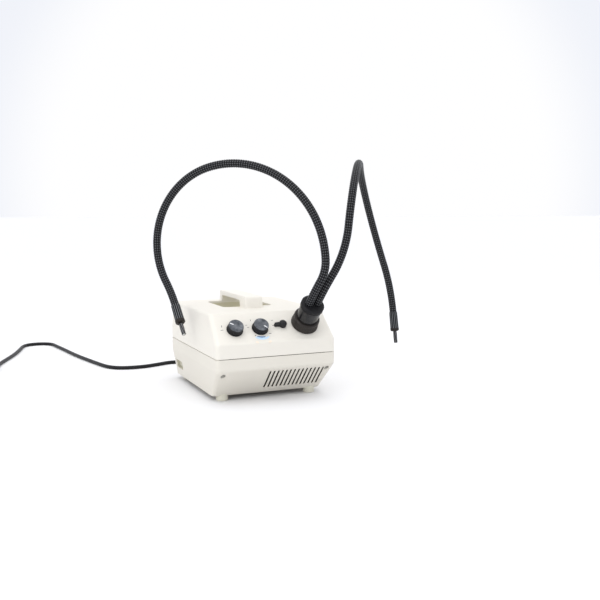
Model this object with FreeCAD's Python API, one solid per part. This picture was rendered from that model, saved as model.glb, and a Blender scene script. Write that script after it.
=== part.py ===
import FreeCAD, Part
import math
import os

# Cold-light source for microscopy: a moulded housing with a sloping control panel, a lamp behind
# the panel, and a plug-in fibre light guide that forks into two self-supporting arms.
# Sizes are in millimetres. X runs to the right of the housing, Y to its back and Z up. While it is
# being drawn the housing stands over the origin; the export moves everything so that the origin
# lies at the bottom centre of the box round the object without its mains lead.

V = FreeCAD.Vector
RIGHT = V(1, 0, 0)
REARWARD = V(0, 1, 0)
UP = V(0, 0, 1)

# ---- clearances -------------------------------------------------------------------------------
RUNNING = 0.05               # radial play of a turning or sliding fit
LOOSE = 0.3                  # gap between pieces that pass each other
SEATED = 0.15                # gap round a piece that is pushed into its place
PAST = 1.0                   # how far a cutting shape runs on past the face that it opens

# ---- housing ----------------------------------------------------------------------------------
CASE_WIDTH = 200.0
CASE_DEPTH = 262.0
CASE_TOP = 139.0
CASE_BASE = 8.5              # underside of the housing above the bench
WALL = 3.0
CORNER_RADIUS = 7.0
RIM_RADIUS = 4.0
PANEL_RISE = 42.5            # height of the sloping control panel
PANEL_SETBACK = 44.0         # how far the panel leans back
BAND_HEIGHT = 22.5           # upright front below the panel, down to the seam
SKIRT_HEIGHT = 19.5          # upright front below the seam
GRILLE_SETBACK = 45.0        # how far the grille face runs back under the housing
BASE_TUCK = 7.0              # how far sides and back draw in at the base
TOP_TUCK = 3.0               # how far sides and back draw in at the top
FRONT_BREAK_RADIUS = 8.0     # rounding between skirt and grille face
PANEL_FOOT_RADIUS = 5.0
FLANK_RADIUS = 40.0          # rounding of the slight breaks in the sides and the back
SEAM_GAP = 1.2
LIP_HEIGHT = 4.0             # tongue of the lower shell inside the upper shell
LIP_PLAY = 0.15

# ---- grilles ----------------------------------------------------------------------------------
SLOT_WIDTH = 3.0
SLOT_PITCH = 7.0
FRONT_SLOTS = 14
FRONT_SLOT_LENGTH = 45.0
FRONT_SLOTS_FROM_SIDE = 19.0   # right-hand slot to the side of the housing
REAR_SLOTS = 10
REAR_SLOT_LOW = 25.0
REAR_SLOT_ABOVE_SEAM = 24.0    # top of the slots
REAR_SLOT_BRIDGE = 4.0         # plain wall each side of the seam

# ---- feet and case screws ---------------------------------------------------------------------
FOOT_DIAMETER = 19.0
FOOT_FROM_SIDE = 24.6
FRONT_FOOT_FROM_FRONT = 51.5
REAR_FOOT_FROM_BACK = 25.0
FOOT_SUNK = 5.5              # length of a foot inside its pocket
FOOT_CHAMFER = 1.0
POCKET_WALL = 2.5
SCREW_FROM_SIDE = 12.5
FRONT_SCREW_OFF_WALL = 0.5     # upper column inside the lower shell's front wall
REAR_SCREW_FROM_BACK = 14.0
SCREW_WELL_DIAMETER = 8.0
SCREW_COLUMN_DIAMETER = 12.0
SCREW_SEAT_BELOW_SEAM = 16.0
SCREW_COLUMN_BELOW_SEAM = 9.0
SCREW_DIAMETER = 3.0
SCREW_HEAD_DIAMETER = 6.5
SCREW_HEAD_HEIGHT = 2.5
SCREW_CROSS_LENGTH = 3.6
SCREW_CROSS_WIDTH = 1.0
SCREW_LENGTH = 22.0
UPPER_COLUMN_DIAMETER = 9.0
FRONT_SCREW_FROM_FRONT = WALL + FRONT_SCREW_OFF_WALL + UPPER_COLUMN_DIAMETER / 2

# ---- finger recess in the left side -------------------------------------------------------------
RECESS_FROM_BACK = 18.5
RECESS_LENGTH = 38.5
RECESS_HEIGHT = 15.0
RECESS_LOW = 21.5
RECESS_DEPTH = 5.0
RECESS_FLOOR = 1.5
RECESS_CORNER = 2.0

# ---- carrying handle and hand well --------------------------------------------------------------
WELL_LEFT = -46.0
WELL_WIDTH = 88.0
WELL_FROM_BACK = 41.0
WELL_LENGTH = 96.0
WELL_DEPTH = 29.0
WELL_CORNER = 10.0
HANDLE_LEFT = -18.0
HANDLE_WIDTH = 30.5
HANDLE_RISE = 19.5
HANDLE_BAR = 9.5
HANDLE_FRONT_LEG = 30.0
HANDLE_REAR_LEG = 13.0
HANDLE_LEAN = 2.0            # how far the ends of the handle lean in over its height
HANDLE_BEND = 5.0
HANDLE_EDGE = 2.0
HANDLE_SCREW_DIAMETER = 4.0
HANDLE_SCREW_LENGTH = 14.0
HANDLE_SCREW_HEAD = 6.6
HANDLE_SCREW_HEAD_HEIGHT = 2.5
REAR_HANDLE_SCREW_OFF_WELL = 0.2   # screw head behind the well's wall

# ---- control panel: places are (from its left side, up the slope) -------------------------------
POWER_AT = (36.3, 27.7)
INTENSITY_AT = (77.8, 27.6)
SHUTTER_AT = (116.9, 31.4)
GUIDE_AT = (155.0, 31.8)
KNOB_BASE_DIAMETER = 26.5
KNOB_TOP_DIAMETER = 24.0
KNOB_HEIGHT = 11.0
KNOB_SKIRT = 2.4
KNOB_EDGE = 1.0
KNOB_SEAT = 0.4
KNOB_HOLLOW_DIAMETER = 20.0
KNOB_HOLLOW_DEPTH = 4.0
KNOB_ROOF = 3.0                # knob material over the end of the shaft's bore
SHAFT_SHORT = 0.5              # shaft's end below the end of that bore
CAP_DIAMETER = 21.0
CAP_THICKNESS = 1.2
POINTER_WIDTH = 1.4
POINTER_LENGTH = 6.0
POINTER_DEPTH = 0.5
POWER_POINTS_TO = 150.0        # direction of each pointer on the panel, degrees from RIGHT
INTENSITY_POINTS_TO = -45.0
SHAFT_DIAMETER = 6.0
SHAFT_END_WALL = 3.0           # control body behind the end of its shaft
BUSHING_DIAMETER = 9.8
BUSHING_STANDS_OUT = 2.4
NUT_ACROSS_FLATS = 13.0
NUT_THICKNESS = 2.0
POT_DIAMETER = 25.0
POT_DEPTH = 12.0
SWITCH_WIDTH = 26.0
SWITCH_DEPTH = 19.0
SWITCH_CORNER = 3.0
LUG_LENGTH = 6.0
LUG_WIDTH = 2.0
LUG_THICKNESS = 0.8
LUG_SPACING = 5.0
LUG_ROOT = 3.0                 # part of a lug inside the body

# ---- shutter ------------------------------------------------------------------------------------
SPINDLE_DIAMETER = 4.0
LEVER_HUB_DIAMETER = 12.2
LEVER_HEIGHT = 8.0
LEVER_REACH = 14.4
LEVER_WIDTH = 6.8
LEVER_TIP_HEIGHT = 5.0
LEVER_CORNER = 2.0
LEVER_ROOF = 2.0               # lever material over the end of the spindle's bore
SPINDLE_BOSS_DIAMETER = 10.0
SPINDLE_BOSS_DEPTH = 8.0
BLADE_THICKNESS = 1.2
BLADE_BEHIND_PANEL = 31.0
BLADE_INNER = 22.0
BLADE_OUTER = 54.0
BLADE_HALF_ANGLE = 34.0
BLADE_HUB_DIAMETER = 9.0
BLADE_HUB_LENGTH = 6.0
BLADE_ROOT_WIDTH = 8.0
BLADE_HOLE = 2.4
BLADE_HOLE_STEP = 5.0
BLADE_HOLE_ROWS = 6
BLADE_ROW_ANGLE = 9.0
BLADE_FIRST_ROW = 6.0          # from the blade's edge to the first row of holes, degrees

# ---- light guide socket: heights are along the panel's normal -----------------------------------
PLUG_DIAMETER = 25.0
SLEEVE_WALL = 3.45
SLEEVE_OUTER_DIAMETER = PLUG_DIAMETER + 2 * (RUNNING + SLEEVE_WALL)
SLEEVE_TOP = 12.0
SLEEVE_BEHIND = 29.0
SLEEVE_FLANGE = 6.0            # flange beyond the sleeve
SLEEVE_FLANGE_THICKNESS = 2.0
COLLAR_WALL = 6.25
COLLAR_DIAMETER = SLEEVE_OUTER_DIAMETER + 2 * COLLAR_WALL
COLLAR_TAPER = 1.25            # how far the collar draws in to its top
COLLAR_SEAT = 0.4
COLLAR_TOP = 18.0
COLLAR_EDGE = 1.5
COLLAR_FOOT_EDGE = 1.0
PLUG_BEHIND = 27.0
PLUG_TOP = 30.0
HEAD_TOP = 42.0
HEAD_EDGE = 1.0
CAP_RIM_WALL = 5.05            # cap outside the necks
CAP_OVERHANG = 1.3             # cap beyond the head
CAP_TOP = 50.0
CAP_EDGE = 2.0
BUNDLE_DIAMETER = 9.0
BUNDLE_THICKNESS = 1.0

# ---- light guide arms ---------------------------------------------------------------------------
NECK_DIAMETER = 13.3
NECK_GAP = 0.9                 # between the two arms where they leave the head
NECK_SPACING = NECK_DIAMETER + NECK_GAP
NECK_IN_HEAD = 5.0
NECK_IN_GRIP = 10.0
BALL_BELOW_NECK = 0.9          # how much smaller than the neck a ball is
BALL_DIAMETER = NECK_DIAMETER - BALL_BELOW_NECK
BALL_STANDS_OFF = 1.5          # end of a stiff stretch before the ball's centre
SOCKET_STANDS_OFF = 3.2        # start of the next stretch beyond the ball's centre
CAP_RIM_DIAMETER = NECK_SPACING + NECK_DIAMETER + 2 * CAP_RIM_WALL
HEAD_DIAMETER = CAP_RIM_DIAMETER - 2 * CAP_OVERHANG
BENDS_AT = (70.0, 230.0, 390.0, 550.0)   # length along an arm of each place where it bends
GRIP_LENGTH = 35.0
GRIP_WALL = 0.55               # grip round the neck at its open end
GRIP_NECK_DIAMETER = NECK_DIAMETER + 2 * (SEATED + GRIP_WALL)
GRIP_SWELL = 0.35              # how far the grip widens towards the ferrule
GRIP_BAND = 0.3                # end band beyond the grip
GRIP_BAND_LENGTH = 4.0
GRIP_EDGE = 0.6
GRIP_END_EDGE = 1.6
FERRULE_DIAMETER = 7.0
FERRULE_SHANK_DIAMETER = 5.8   # thinner part inside the grip
FERRULE_STANDS_OFF = 1.0       # shoulder of the ferrule outside the grip
FERRULE_LENGTH = 22.0
FERRULE_IN_GRIP = 12.0
FERRULE_EDGE = 0.6
FIBRE_DIAMETER = 4.6
FIBRE_THICKNESS = 2.0
FIBRE_RECESS = 0.3
# An arm's shape: stretches of (length, turn, compass direction and rise that it turns towards).
LEFT_SHAPE = (
    (45.0, 32.5, 49.0, 10.0),
    (35.0, 33.0, 136.0, 0.0),
    (279.5, 100.6, 136.0, 0.0),
    (232.5, 104.4, -45.6, -60.0),
    (46.0, -25.0, 56.7, 0.0),
)
RIGHT_SHAPE = (
    (55.0, 58.0, 36.7, 31.0),
    (80.5, 30.0, 189.3, 0.0),
    (194.0, 102.7, 58.8, 0.0),
    (228.0, 91.0, 48.6, -43.7),
    (90.5, 18.7, 99.3, 0.0),
)

# ---- lamp and its bracket -----------------------------------------------------------------------
FILTER_DIAMETER = 48.0
FILTER_THICKNESS = 3.0
BRACKET_BEHIND_PANEL = 37.0
BRACKET_THICKNESS = 1.5
BRACKET_WIDTH = 60.0
BRACKET_WINDOW_DIAMETER = 44.0
BRACKET_FOOT_LENGTH = 26.0
BRACKET_FOOT_FROM_EDGE = 2.0   # bend of the foot behind the chassis plate's front edge
BRACKET_ABOVE_GRILLE = 12.218   # bend below the bracket's upright part, over the grille's face
BRACKET_LOW = 4.0              # the bracket's face from low to high up the panel's slope
BRACKET_HIGH = 60.0
CHEEK_WIDTH = 24.0
CHEEK_PLAY = 2.0
LAMP_DIAMETER = 50.0
LAMP_LENGTH = 42.0
LAMP_RIM = 3.0
LAMP_GLASS = 1.6
LAMP_BOWL_FROM_BACK = 16.0
LAMP_BOWL_STEPS = 7
BURNER_DIAMETER = 8.0
BURNER_LENGTH = 14.0
LAMP_BASE_DIAMETER = 20.0
LAMP_PIN_DIAMETER = 1.2
LAMP_PIN_LENGTH = 5.0
LAMP_PIN_SPACING = 5.3
SOCKET_GAP = 1.0
SOCKET_DEPTH = 12.0
SOCKET_WIDTH = 18.0
SOCKET_HEIGHT = 14.0
SHIELD_TOP = 88.0
SHIELD_LENGTH = 58.0
SHIELD_THICKNESS = 1.2
SHIELD_FLANGE = 10.0
SHIELD_FROM_BRACKET = 4.0
SHIELD_FROM_EDGE = 3.0
SHIELD_VENTS = 4
SHIELD_VENT_WIDTH = 4.0
SHIELD_VENT_PITCH = 9.0
SHIELD_VENT_LOW = 40.0
SHIELD_VENT_HIGH = 75.0

# ---- chassis and what stands on it --------------------------------------------------------------
CHASSIS_TOP = 19.5
CHASSIS_THICKNESS = 1.5
CHASSIS_FROM_SIDE = 20.0
CHASSIS_FROM_FRONT = 43.0
CHASSIS_FROM_BACK = 25.0
POST_DIAMETER = 9.0
POST_FROM_EDGE = 14.0
FRONT_POST_FROM_EDGE = 38.0
REAR_POST_FROM_EDGE = 22.0
CHASSIS_SCREW_DIAMETER = 3.0
CHASSIS_SCREW_HEAD = 6.0
CHASSIS_SCREW_HEAD_HEIGHT = 2.2
CHASSIS_CORNER = 4.0
FAN_SIZE = 80.0
FAN_DEPTH = 25.0
FAN_CORNER = 4.0
FAN_STRUTS = 4
FAN_STRUT_WIDTH = 4.0
FAN_STRUT_THICKNESS = 3.0
FAN_MOTOR_THICKNESS = 4.0
FAN_ABOVE_CHASSIS = 0.5
FAN_SCREW_HEAD = 7.0
FAN_SCREW_HEAD_HEIGHT = 2.5
FAN_FROM_SIDE = 60.0
FAN_BORE_DIAMETER = 76.0
FAN_HOLE_SPACING = 71.5
FAN_HOLE_DIAMETER = 4.3
FAN_HUB_DIAMETER = 36.0
FAN_SWEEP_DIAMETER = 73.0
FAN_BLADES = 7
FAN_BLADE_THICKNESS = 1.4
FAN_ROOT_PITCH = 50.0          # blade angle at the hub and at the tip, degrees
FAN_TIP_PITCH = 32.0
FAN_BLADE_SHARE = 0.9          # blade depth as a share of the hub's
FAN_ROTOR_FROM_FRONT = 2.0
FAN_ROTOR_FROM_BACK = 5.0
FAN_HUB_FACE = 6.0             # hub in front of the pin's end
FAN_PIN_DIAMETER = 3.0
FAN_FROM_BACK = 9.0
TRANSFORMER_DIAMETER = 90.0
TRANSFORMER_HEIGHT = 45.0
TRANSFORMER_HOLE = 34.0
TRANSFORMER_EDGE = 8.0
TRANSFORMER_FROM_SIDE = 55.0
TRANSFORMER_FROM_BACK = 96.0
CLAMP_OVERLAP = 11.0           # clamp washer beyond the hole
CLAMP_THICKNESS = 1.5
CLAMP_BOLT_DIAMETER = 6.0
CLAMP_HEAD_DIAMETER = 10.0
CLAMP_HEAD_HEIGHT = 4.0
BOARD_WIDTH = 76.0
BOARD_LENGTH = 66.0
BOARD_THICKNESS = 1.6
BOARD_ABOVE_CHASSIS = 6.0
BOARD_FROM_SIDE = 24.0
BOARD_FROM_FRONT = 52.0
BOARD_POST_DIAMETER = 6.0
BOARD_POST_FROM_EDGE = 6.0
# Parts on the board: places are from its left front corner.
CAPACITORS = (                 # diameter, height, x, y
    (16.0, 26.0, 16.0, 48.0),
    (16.0, 26.0, 36.0, 48.0),
    (10.0, 14.0, 16.0, 30.0),
)
RELAY_LOW = (42.0, 4.0)
RELAY_HIGH = (70.0, 15.0)
RELAY_HEIGHT = 16.0
TERMINALS_LOW = (10.0, 4.0)
TERMINALS_HIGH = (34.0, 12.0)
TERMINALS_HEIGHT = 10.0
TERMINAL_COUNT = 4
TERMINAL_PITCH = 5.3
TERMINAL_HOLE = 3.0
TERMINAL_HOLE_DEPTH = 6.0
SINK_LOW = (50.0, 22.0)
SINK_LENGTH = 38.0
SINK_HEIGHT = 30.0
SINK_BASE = 4.0
SINK_FIN_LENGTH = 14.0
SINK_FIN = 1.5
SINK_FIN_PITCH = 6.0
SINK_FINS = 7

# ---- rear fittings and mains lead ---------------------------------------------------------------
FUSE_X = -62.0
FUSE_Z = 40.0
FUSE_CAP_DIAMETER = 15.0
FUSE_BODY_DIAMETER = 12.0
FUSE_BODY_DEPTH = 24.0
FUSE_CAP_HEIGHT = 9.0
FUSE_EDGE = 1.0
FUSE_FLANGE = 1.5
FUSE_FLANGE_THICKNESS = 2.0
FUSE_NUT = 4.0                 # nut beyond the body
FUSE_NUT_THICKNESS = 2.5
FUSE_SLOT_WIDTH = 1.6
FUSE_SLOT_DEPTH = 1.5
RELIEF_X = -20.0
RELIEF_Z = 32.0
RELIEF_LENGTH = 36.0
RELIEF_WIDE = 12.0
RELIEF_NARROW = 8.0
RELIEF_BEHIND = 8.0            # part inside the housing
RELIEF_FLANGE = 2.0
RELIEF_RIBS = 4
RELIEF_GROOVE = 2.0
RELIEF_GROOVE_DEPTH = 1.0
RELIEF_TIP = 3.0
LEAD_DIAMETER = 6.8
LEAD_STRAIGHT = 28.0
LEAD_ARC_SHARE = 0.45          # share of the shorter run that the arc at its end takes up
LEAD_Z = LEAD_DIAMETER / 2
# Points of the lead's route after the first straight run, their second figure measured back from
# the housing: down to the bench, round behind the housing, away in one long loop and forward to
# the coil.
LEAD_ROUTE = (
    (-22.0, 90.0, 10.5),
    (-40.0, 116.0, LEAD_Z),
    (-70.0, 125.0, LEAD_Z),
    (-100.0, 111.0, LEAD_Z),
    (-131.0, 99.0, LEAD_Z),
    (-169.0, 102.0, LEAD_Z),
    (-192.0, 122.0, LEAD_Z),
    (-205.5, 174.0, LEAD_Z),
    (-228.0, 272.0, LEAD_Z),
    (-242.0, 364.0, LEAD_Z),
    (-251.0, 414.0, LEAD_Z),
    (-257.0, 452.0, LEAD_Z),
    (-287.0, 467.0, LEAD_Z),
    (-317.0, 454.0, LEAD_Z),
    (-329.0, 401.0, LEAD_Z),
    (-345.0, 339.0, LEAD_Z),
    (-379.5, 246.0, LEAD_Z),
    (-394.0, 197.0, LEAD_Z),
)
COIL_X = -433.0
COIL_BEHIND_HOUSING = 195.0
COIL_DIAMETER = 78.0
COIL_TURNS = 3.5
COIL_WIDE = 2                  # turns side by side
COIL_HIGH = 2                  # turns on each other
TIE_WIDTH = 6.0
TIE_THICKNESS = 1.0
PLUG_TAIL = 55.0               # lead between the coil and the mains plug
PLUG_BODY_DIAMETER = 38.0
PLUG_BODY_LENGTH = 36.0
PLUG_NECK_LENGTH = 28.0
PLUG_NECK_END_DIAMETER = 16.0
PLUG_NECK_OVERLAP = 8.0        # end of the neck inside the plug's rounded back
PLUG_SHOULDER = 6.0
PLUG_SHOULDER_INSET = 5.0
PLUG_FACE_EDGE = 2.0
PLUG_PIN_DIAMETER = 4.8
PLUG_PIN_ROOT_DIAMETER = 4.0   # pin inside the body
PLUG_PIN_STANDS_OFF = 1.0      # shoulder of the pin outside the body
PLUG_PIN_IN_BODY = 6.0
PLUG_PIN_EDGE = 1.0
PLUG_PIN_LENGTH = 19.0
PLUG_PIN_SPACING = 19.0

# ---- worked out from the sizes above ------------------------------------------------------------
HALF = CASE_WIDTH / 2
FRONT = -CASE_DEPTH / 2
BACK = CASE_DEPTH / 2
PANEL_FOOT_Z = CASE_TOP - PANEL_RISE
SEAM_Z = PANEL_FOOT_Z - BAND_HEIGHT
BREAK_Z = SEAM_Z - SKIRT_HEIGHT
FLOOR_Z = CASE_BASE + WALL
PANEL_FOOT = V(-HALF, FRONT, PANEL_FOOT_Z)
UP_PANEL = V(0, PANEL_SETBACK, PANEL_RISE).normalize()
OUT_OF_PANEL = RIGHT.cross(UP_PANEL)
GRILLE_HEIGHT = BREAK_Z - CASE_BASE
UP_GRILLE = V(0, -GRILLE_SETBACK, GRILLE_HEIGHT).normalize()
OUT_OF_GRILLE = RIGHT.cross(UP_GRILLE)
UP_REAR = V(0, BASE_TUCK, BREAK_Z - CASE_BASE).normalize()
OUT_OF_REAR = UP_REAR.cross(RIGHT)
WELL_FRONT = BACK - WELL_FROM_BACK - WELL_LENGTH
WELL_FLOOR_Z = CASE_TOP - WELL_DEPTH
GUIDE_X = GUIDE_AT[0] - HALF
COIL_CENTRE = (COIL_X, BACK + COIL_BEHIND_HOUSING)
CHASSIS_LOW = CHASSIS_TOP - CHASSIS_THICKNESS


# ---- shapes -------------------------------------------------------------------------------------
def box(low, high):
    """Block between two opposite corners."""
    return Part.makeBox(high[0] - low[0], high[1] - low[1], high[2] - low[2], V(*low))


def cylinder(diameter, low, high, x=0.0, y=0.0):
    """Upright cylinder between two heights."""
    return Part.makeCylinder(diameter / 2, high - low, V(x, y, low))


def ring(outer, inner, low, high, x=0.0, y=0.0):
    """Upright tube between two heights."""
    return cylinder(outer, low, high, x, y).cut(cylinder(inner, low, high, x, y))


def turned(profile, x=0.0, y=0.0):
    """Solid turned about an upright axis from a closed outline of (radius, height) points."""
    points = [V(x + radius, y, height) for radius, height in profile]
    points.append(points[0])
    face = Part.Face(Part.makePolygon(points))
    return face.revolve(V(x, y, 0), UP, 360)


def fused(solids):
    """One solid from several that touch, with the seams between them removed."""
    return solids[0].fuse(solids[1:]).removeSplitter()


def frame_at(origin, x_axis, z_axis):
    """Place whose local X and Z point along the two given directions."""
    rotation = FreeCAD.Rotation(x_axis, z_axis.cross(x_axis), z_axis, "ZXY")
    return FreeCAD.Placement(origin, rotation)


def moved(shape, place):
    """Copy of a shape carried from its own frame into a place."""
    copy = shape.copy()
    copy.Placement = place.multiply(shape.Placement)
    return copy


def corner_arc(before, point, after, radius):
    """Start, middle and end of the arc that rounds the corner at a point."""
    arriving = (point - before).normalize()
    leaving = (after - point).normalize()
    half_turn = arriving.getAngle(leaving) / 2
    setback = radius * math.tan(half_turn)
    inward = (leaving - arriving).normalize()
    middle = point + inward * (radius / math.cos(half_turn) - radius)
    return point - arriving * setback, middle, point + leaving * setback


def rounded_face(points, radii):
    """Flat face inside a closed outline, each corner rounded by its own radius."""
    edges = []
    joins = []
    for index, point in enumerate(points):
        after = points[(index + 1) % len(points)]
        if radii[index] == 0:
            joins.append((point, point))
            continue
        start, middle, end = corner_arc(points[index - 1], point, after, radii[index])
        edges.append(Part.Arc(start, middle, end).toShape())
        joins.append((start, end))
    for index, join in enumerate(joins):
        following = joins[(index + 1) % len(joins)]
        edges.append(Part.LineSegment(join[1], following[0]).toShape())
    return Part.Face(Part.Wire(Part.__sortEdges__(edges)))


def rounded_plate(low, high, radius, bottom, top):
    """Upright block on a rectangle with rounded corners."""
    outline = [V(low[0], low[1], bottom), V(high[0], low[1], bottom),
               V(high[0], high[1], bottom), V(low[0], high[1], bottom)]
    return rounded_face(outline, [radius] * 4).extrude(V(0, 0, top - bottom))


def slot(width, length, depth):
    """Round-ended slot cutter along local Y, centred on the frame's XY plane."""
    straight = length - width
    middle = box((-width / 2, -straight / 2, -depth / 2), (width / 2, straight / 2, depth / 2))
    ends = [cylinder(width, -depth / 2, depth / 2, 0, side * straight / 2) for side in (-1, 1)]
    return fused([middle] + ends)


def faces_along(edge, direction):
    """Whether a straight-ended edge runs along a direction."""
    chord = (edge.lastVertex().Point - edge.firstVertex().Point).normalize()
    return abs(chord.dot(direction)) > 0.9999


# ---- places -------------------------------------------------------------------------------------
def on_panel(at=(0.0, 0.0)):
    """Frame on the control panel: X across from its left side, Y up the slope, Z out of it."""
    origin = PANEL_FOOT + RIGHT * at[0] + UP_PANEL * at[1]
    return frame_at(origin, RIGHT, OUT_OF_PANEL)


def on_grille(x, up_slope):
    """Frame on the sloping grille face under the front: Y up the slope, Z out of it."""
    foot = V(x, FRONT + GRILLE_SETBACK, CASE_BASE)
    return frame_at(foot + UP_GRILLE * up_slope, RIGHT, OUT_OF_GRILLE)


def on_rear(x, z):
    """Frame on the lower rear wall: Z out of it, X to the left seen from behind."""
    y = BACK - BASE_TUCK + (z - CASE_BASE) * BASE_TUCK / (BREAK_Z - CASE_BASE)
    return frame_at(V(x, y, z), -RIGHT, OUT_OF_REAR)


# ---- housing ------------------------------------------------------------------------------------
def case_block(inset):
    """The housing's outer form as one block, drawn in by an inset for what lies inside it."""
    side = [V(-HALF, FRONT + GRILLE_SETBACK, CASE_BASE), V(-HALF, FRONT, BREAK_Z),
            V(-HALF, FRONT, PANEL_FOOT_Z), V(-HALF, FRONT + PANEL_SETBACK, CASE_TOP),
            V(-HALF, BACK - TOP_TUCK, CASE_TOP), V(-HALF, BACK, PANEL_FOOT_Z),
            V(-HALF, BACK, BREAK_Z), V(-HALF, BACK - BASE_TUCK, CASE_BASE)]
    side_radii = [0, FRONT_BREAK_RADIUS, PANEL_FOOT_RADIUS, 0, 0, FLANK_RADIUS, FLANK_RADIUS, 0]
    heights = (CASE_BASE, BREAK_Z, PANEL_FOOT_Z, CASE_TOP)
    widths = (HALF - BASE_TUCK, HALF, HALF, HALF - TOP_TUCK)
    left = [V(-half, FRONT, height) for half, height in zip(widths, heights)]
    right = [V(half, FRONT, height) for half, height in zip(widths, heights)]
    end_radii = [0, FLANK_RADIUS, FLANK_RADIUS, 0] * 2
    side_face = rounded_face(side, side_radii)
    end_face = rounded_face(left + right[::-1], end_radii)
    if inset:
        side_face = side_face.makeOffset2D(-inset)
        end_face = end_face.makeOffset2D(-inset)
    lengthwise = side_face.extrude(RIGHT * CASE_WIDTH)
    block = lengthwise.common(end_face.extrude(REARWARD * CASE_DEPTH)).Solids[0]
    corners = [edge for edge in block.Edges
               if not faces_along(edge, RIGHT) and not faces_along(edge, REARWARD)]
    block = block.makeFillet(CORNER_RADIUS - inset, corners)
    rim = [edge for edge in block.Edges if edge.BoundBox.ZMin > CASE_TOP - inset - 0.01]
    return block.makeFillet(max(RIM_RADIUS - inset, RIM_RADIUS / 4), rim)


def slab(low, high):
    """Block wider than the housing between two heights."""
    return box((-CASE_WIDTH, -CASE_DEPTH, low), (CASE_WIDTH, CASE_DEPTH, high))


def screw_places():
    """Case screws: x and y of the four columns."""
    places = []
    for side in (-1, 1):
        places.append((side * (HALF - SCREW_FROM_SIDE), FRONT + FRONT_SCREW_FROM_FRONT))
        places.append((side * (HALF - SCREW_FROM_SIDE), BACK - REAR_SCREW_FROM_BACK))
    return places


def foot_places():
    """Centres of the four feet: front left, front right, rear left, rear right."""
    places = []
    for y in (FRONT + FRONT_FOOT_FROM_FRONT, BACK - REAR_FOOT_FROM_BACK):
        for side in (-1, 1):
            places.append((side * (HALF - FOOT_FROM_SIDE), y))
    return places


def post_places():
    """Posts that carry the chassis plate."""
    x = HALF - CHASSIS_FROM_SIDE - POST_FROM_EDGE
    front = FRONT + CHASSIS_FROM_FRONT + FRONT_POST_FROM_EDGE
    rear = BACK - CHASSIS_FROM_BACK - REAR_POST_FROM_EDGE
    return [(side * x, y) for side in (-1, 1) for y in (front, rear)]


def rear_slot_centres():
    """X of each slot of the rear grille, centred behind the fan."""
    middle = HALF - FAN_FROM_SIDE
    first = middle - (REAR_SLOTS - 1) * SLOT_PITCH / 2
    return [first + index * SLOT_PITCH for index in range(REAR_SLOTS)]


def rear_slots(low, high):
    """Cutters for the rear grille between two heights."""
    cutters = []
    for x in rear_slot_centres():
        middle = V(x, BACK, (low + high) / 2)
        cutters.append(moved(slot(SLOT_WIDTH, high - low, CASE_DEPTH / 4),
                             frame_at(middle, -RIGHT, REARWARD)))
    return cutters


def recess_block(depth, grown):
    """Finger recess in the left wall: a rounded block from the given depth out through the wall."""
    middle_z = RECESS_LOW + RECESS_HEIGHT / 2
    x = -(HALF - BASE_TUCK) - (middle_z - CASE_BASE) * BASE_TUCK / (BREAK_Z - CASE_BASE)
    outward = V(CASE_BASE - BREAK_Z, 0, -BASE_TUCK).normalize()
    middle = V(x, BACK - RECESS_FROM_BACK - RECESS_LENGTH / 2, middle_z)
    high = RECESS_HEIGHT / 2 + grown
    long = RECESS_LENGTH / 2 + grown
    block = rounded_plate((-high, -long), (high, long), RECESS_CORNER + grown, -depth, WALL)
    return moved(block, frame_at(middle, REARWARD.cross(outward), outward))


def lower_shell(outer, cavity):
    """Tray with a tongue round its rim; columns and bosses are what the hollow leaves standing."""
    seam = SEAM_Z - SEAM_GAP / 2
    column_top = SEAM_Z - SCREW_COLUMN_BELOW_SEAM
    pocket_top = CASE_BASE + FOOT_SUNK + SEATED
    standing = [recess_block(RECESS_DEPTH + RECESS_FLOOR, RECESS_FLOOR)]
    removed = [recess_block(RECESS_DEPTH, 0)]
    for x, y in screw_places():
        standing.append(cylinder(SCREW_COLUMN_DIAMETER, 0, column_top, x, y))
        seat = SEAM_Z - SCREW_SEAT_BELOW_SEAM
        removed.append(cylinder(SCREW_WELL_DIAMETER, 0, seat, x, y))
        removed.append(cylinder(SCREW_DIAMETER + 2 * SEATED, seat, SEAM_Z, x, y))
    for x, y in foot_places():
        outside = FOOT_DIAMETER + 2 * (SEATED + POCKET_WALL)
        standing.append(cylinder(outside, 0, pocket_top + POCKET_WALL, x, y))
        removed.append(cylinder(FOOT_DIAMETER + 2 * SEATED, 0, pocket_top, x, y))
    for x, y in post_places():
        standing.append(cylinder(POST_DIAMETER, 0, CHASSIS_LOW, x, y))
        removed.append(cylinder(CHASSIS_SCREW_DIAMETER + 2 * SEATED, FLOOR_Z, CHASSIS_TOP, x, y))
    for index in range(FRONT_SLOTS):
        x = HALF - FRONT_SLOTS_FROM_SIDE - index * SLOT_PITCH
        place = on_grille(x, math.hypot(GRILLE_SETBACK, GRILLE_HEIGHT) / 2 + WALL)
        removed.append(moved(slot(SLOT_WIDTH, FRONT_SLOT_LENGTH, 4 * WALL), place))
    removed += rear_slots(REAR_SLOT_LOW, SEAM_Z - LIP_HEIGHT - REAR_SLOT_BRIDGE)
    rear_holes = ((FUSE_BODY_DIAMETER, FUSE_X, FUSE_Z), (RELIEF_WIDE, RELIEF_X, RELIEF_Z))
    for diameter, x, z in rear_holes:
        hole = cylinder(diameter + 2 * SEATED, -3 * WALL, 2 * WALL)
        removed.append(moved(hole, on_rear(x, z)))
    tongue = case_block(WALL / 2 + LIP_PLAY).common(slab(seam - PAST, SEAM_Z + LIP_HEIGHT))
    form = outer.common(slab(0, seam)).fuse(tongue)
    return form.cut(cavity.cut(standing)).cut(removed).Solids[0]


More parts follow.
